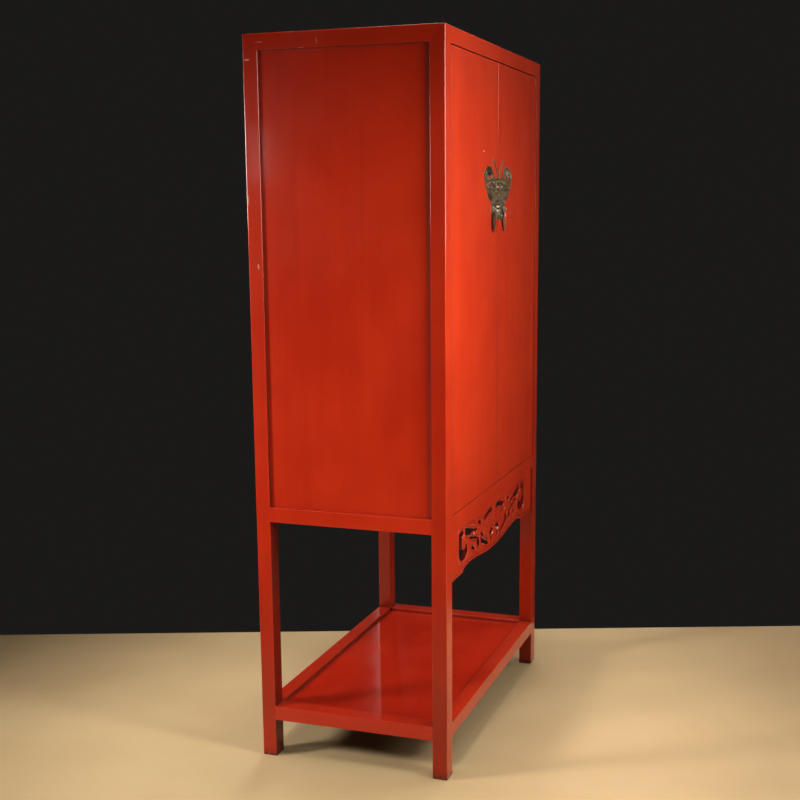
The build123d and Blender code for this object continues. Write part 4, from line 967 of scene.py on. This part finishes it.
# patina tones on the butterfly plate mixed with painted reflections, highlights and shadows, as marked
# below
PATINA_AND_PAINTED_LIGHT = [  # x, z, half width, half height, tone, strength
    # painted reflection: dark on the left wing's upper lobe
    (-92, 1525, 32, 12, (0.016, 0.011, 0.008), 0.85),
    (-86, 1466, 24, 10, (0.040, 0.016, 0.008), 0.70),
    # painted reflections: light on the right wing's upper lobe (this row and the next two)
    (88, 1525, 20, 8, (0.33, 0.35, 0.19), 0.70),
    (97, 1516, 12, 3, (0.66, 0.60, 0.45), 0.80),
    (122, 1517, 8, 3, (0.62, 0.52, 0.42), 0.75),
    # painted highlights on the rims of the left wing's pierced eyes (this row and the next two)
    (-101, 1510, 13, 5, (0.50, 0.30, 0.24), 0.40),
    (-70, 1513, 10, 5, (0.50, 0.32, 0.24), 0.40),
    (-84, 1497, 10, 4, (0.52, 0.36, 0.28), 0.50),
    (8, 1501, 42, 5, (0.15, 0.15, 0.055), 0.60),
    (-22, 1488, 10, 2.4, (0.50, 0.34, 0.29), 0.55),
    (26, 1488, 12, 2.4, (0.54, 0.42, 0.31), 0.55),
    # painted shade under the body's eyes
    (-16, 1482.5, 15, 2.0, (0.050, 0.022, 0.020), 0.80),
    (-10, 1463, 16, 9, (0.36, 0.26, 0.10), 0.70),
    (42, 1468, 30, 9, (0.22, 0.155, 0.085), 0.55),
    # painted highlights and shadows of the lock and pull fittings, pale rows and dark rows, to the end of
    # the list
    (-24, 1450.5, 14, 3, BLACK, 0.90),
    (-8, 1446, 10, 2.6, (0.55, 0.50, 0.34), 0.85),
    (-11, 1436.5, 16, 2.0, CREAM, 0.55),
    (-6, 1431.5, 24, 2.2, BLACK, 0.95),
    (-15, 1427.0, 13, 2.6, (0.52, 0.46, 0.40), 0.65),
    (-2, 1422, 13, 9, (0.40, 0.38, 0.30), 0.45),
    (-6, 1420.5, 12, 2.0, (0.44, 0.43, 0.34), 0.65),
    (14, 1419, 14, 7, (0.11, 0.11, 0.065), 0.70),
    (38, 1421, 13, 12, BLACK, 0.88),
    (-46, 1413, 12, 1.9, (0.70, 0.54, 0.48), 0.75),
    (-34, 1437, 9, 7, BLACK, 0.75),
]
plate = brass("plate_brass", mid=(0.160, 0.108, 0.056), patches=PATINA_AND_PAINTED_LIGHT)
fitting = brass("fitting_brass", dark=(0.10, 0.085, 0.055), mid=(0.46, 0.42, 0.34),
                light=(0.90, 0.84, 0.74), shine=0.22, silver=0.5, metal=0.45)
lug_brass = brass("lug_brass", dark=(0.030, 0.021, 0.014), mid=(0.150, 0.118, 0.078),
                  light=(0.88, 0.82, 0.72), shine=0.36, silver=0.25, metal=0.6)
pendant = brass("pendant_brass", dark=(0.024, 0.007, 0.006), mid=(0.066, 0.017, 0.013),
                light=(0.26, 0.13, 0.10), shine=0.55, metal=0.04, spec=0.12)
# painted reflection: the right pendant is coloured red as if mirroring the red door, with a painted
# highlight on its neck
pendant_red_reflection = brass("pendant_red_reflection", dark=(0.110, 0.022, 0.013), mid=(0.29, 0.048, 0.024),
                       light=(0.66, 0.38, 0.28), shine=0.50, metal=0.04, spec=0.12,
                       patches=[(53, 1415, 7, 7, (0.80, 0.46, 0.36), 0.75)])
wood_x = dark_wood("wash_across", "x")
wood_y = dark_wood("wash_depth", "y")
wood_z = dark_wood("wash_upright", "z")

dress(["front_left_post", "front_right_post", "back_left_post", "back_right_post"], red_z)
dress(["top_front_rail", "top_back_rail", "front_lower_rail", "back_lower_rail",
       "shelf_front_rail", "shelf_back_rail"], red_x)
dress(["top_left_rail", "top_right_rail", "left_lower_rail", "right_lower_rail",
       "shelf_left_rail", "shelf_right_rail"], red_y)
dress(["left_side_panel", "right_side_panel"], red_panel)
dress(["left_door_board", "right_door_board"], red_board)
dress(["left_door_pivot_stile", "right_door_pivot_stile"], red_stile)
dress(["shelf_panel"], red_shelf)
dress(["top_panel"], red_top)
dress(["apron_carving"], red_carved)
dress(["left_butterfly", "right_butterfly"], plate)
dress(["left_pendant"], pendant)
dress(["right_pendant"], pendant_red_reflection)
dress(["left_pendant_eye", "right_pendant_eye", "left_pull_post", "right_pull_post",
       "left_plate_pins", "right_plate_pins", "left_washers", "right_washers"], fitting)
dress(["left_lug", "right_lug"], lug_brass)
dress(["floor_panel", "lower_inner_shelf", "upper_inner_shelf",
       "left_door_lower_batten", "left_door_upper_batten", "right_door_lower_batten",
       "right_door_upper_batten"], wood_x)
dress(["top_batten", "floor_batten", "shelf_left_batten", "shelf_right_batten",
       "lower_shelf_left_cleat", "lower_shelf_right_cleat", "upper_shelf_left_cleat",
       "upper_shelf_right_cleat"], wood_y)
dress(["back_left_panel", "back_right_panel", "back_centre_stile"], wood_z)
bevel(["left_lug", "right_lug", "left_pull_post", "right_pull_post"], 0.00035)

# ---------------------------------------------------------------------------
# Floor, light and camera
# ---------------------------------------------------------------------------
me = bpy.data.meshes.new("floor")
FAR, NEAR, HALF = 0.643, 4.6, 4.5
turn = math.radians(19.87)
ax, ay = math.cos(turn), math.sin(turn)
me.from_pydata([(FAR * ax + s * HALF * ay, FAR * ay - s * HALF * ax, 0.0) for s in (-1, 1)]
               + [(-NEAR * ax + s * HALF * ay, -NEAR * ay - s * HALF * ax, 0.0) for s in (1, -1)],
               [], [(0, 3, 2, 1)])
floor = bpy.data.objects.new("floor", me)
bpy.context.scene.collection.objects.link(floor)
fm = Mat("pale_floor")
soft = fm.noise(3.0, 3.0, 0.5)
fcol = fm.mix(fm.ramp(soft, 0.35, 0.65), (0.66, 0.487, 0.262), (0.70, 0.522, 0.288))
fm.finish(fcol, 0.55, fm.bump(fm.noise(90.0, 3.0, 0.5), 0.15, 0.001))
me.materials.append(fm.m)

world = bpy.data.worlds.new("studio")
bpy.context.scene.world = world
world.use_nodes = True
bg = world.node_tree.nodes.get("Background") or world.node_tree.nodes.new("ShaderNodeBackground")
wo = world.node_tree.nodes.get("World Output") or world.node_tree.nodes.new("ShaderNodeOutputWorld")
world.node_tree.links.new(bg.outputs[0], wo.inputs["Surface"])
bg.inputs["Color"].default_value = (0.0105, 0.0100, 0.0095, 1)
bg.inputs["Strength"].default_value = 1.0


def lamp(name, where, at, size, watts, color=(1, 0.93, 0.84), spread=180.0, size_y=None):
    d = bpy.data.lights.new(name, "AREA")
    d.shape = "RECTANGLE"
    d.size, d.size_y = size, size_y or size
    d.energy, d.color = watts, color
    d.spread = math.radians(spread)
    o = bpy.data.objects.new(name, d)
    o.location = where
    o.rotation_euler = (Vector(at) - Vector(where)).to_track_quat("-Z", "Y").to_euler()
    bpy.context.scene.collection.objects.link(o)
    return o


lamp("back_left", (-1.88, 2.23, 1.65), (-0.45, 0.15, 0.60), 0.5, 9.2, spread=70.0)
lamp("front", (-0.50, -1.20, 1.55), (-0.46, -0.25, 1.50), 0.5, 4.0, size_y=0.65)
lamp("side_high", (-2.60, -0.40, 2.60), (-0.46, 0.0, 0.20), 0.7, 0.6, spread=45.0)
lamp("floor_left", (-1.70, 0.30, 2.90), (-1.70, 0.30, 0.0), 0.9, 1.5, spread=70.0)
lamp("floor_near", (-1.42, -1.44, 3.20), (-1.42, -1.44, 0.0), 1.0, 10.4, spread=66.0)
lamp("floor_front", (0.20, -1.90, 3.20), (0.20, -1.90, 0.0), 1.0, 1.4, spread=60.0)
lamp("front_right", (1.80, -2.60, 1.80), (0.20, -0.25, 1.00), 1.2, 30.2)
lamp("edge_a", (-0.80, -2.60, 1.65), (-0.55, -0.25, 1.30), 0.6, 1.3, spread=40.0, size_y=0.95)
lamp("edge_b", (-1.60, -2.70, 1.65), (-0.50, -0.25, 1.30), 0.6, 2.1, spread=40.0, size_y=0.95)
lamp("edge_high", (-0.90, -2.60, 2.20), (-0.50, -0.25, 1.00), 0.6, 3.7, spread=50.0)
lamp("edge_top", (-1.25, -2.45, 2.05), (-0.74, -0.25, 1.90), 0.25, 0.14, spread=25.0, size_y=0.45)
lamp("glint", (-2.22, 1.60, 1.60), (-0.46, 0.26, 1.50), 0.5, 0.8, spread=120.0, size_y=0.36)
lamp("glint_flat", (-2.22, 1.087, 1.643), (-0.454, 0.228, 1.565), 0.06, 0.13, size_y=0.20)
lamp("shelf_streak", (1.642, 0.713, 0.92), (0.70, 0.356, 0.92), 0.05, 0.11, size_y=0.70)
lamp("right", (2.20, 0.60, 3.00), (0.46, 0.0, 0.90), 1.0, 4.5, spread=80.0)
lamp("back", (0.00, 2.50, 1.62), (-0.10, 0.25, 1.50), 0.9, 8.0, spread=80.0, size_y=0.5)
lamp("top", (0.10, 0.0, 3.60), (0.0, 0.0, 1.85), 0.8, 5.0, spread=40.0)

F_PX, YAW, PITCH, ROLL = 1259.405, 1.2376987, -0.1804669, -0.0068830
cam_data = bpy.data.cameras.new("camera")
cam_data.sensor_fit = "HORIZONTAL"
cam_data.sensor_width = 36.0
cam_data.lens = F_PX / 800.0 * 36.0
cam_data.shift_x = -0.02186
cam_data.shift_y = 0.04595
cam_data.clip_end = 60.0
cam = bpy.data.objects.new("camera", cam_data)
fwd = Vector((math.sin(YAW) * math.cos(PITCH), math.cos(YAW) * math.cos(PITCH), math.sin(PITCH)))
right = Vector((math.cos(YAW), -math.sin(YAW), 0.0))
up = right.cross(fwd)
r2 = right * math.cos(ROLL) + up * math.sin(ROLL)
u2 = -right * math.sin(ROLL) + up * math.cos(ROLL)
cam.matrix_world = Matrix((
    (r2.x, u2.x, -fwd.x, -3.3136),
    (r2.y, u2.y, -fwd.y, -1.1629),
    (r2.z, u2.z, -fwd.z, 1.4367),
    (0, 0, 0, 1)))
bpy.context.scene.collection.objects.link(cam)
bpy.context.scene.camera = cam
bpy.context.scene.view_settings.view_transform = "Standard"
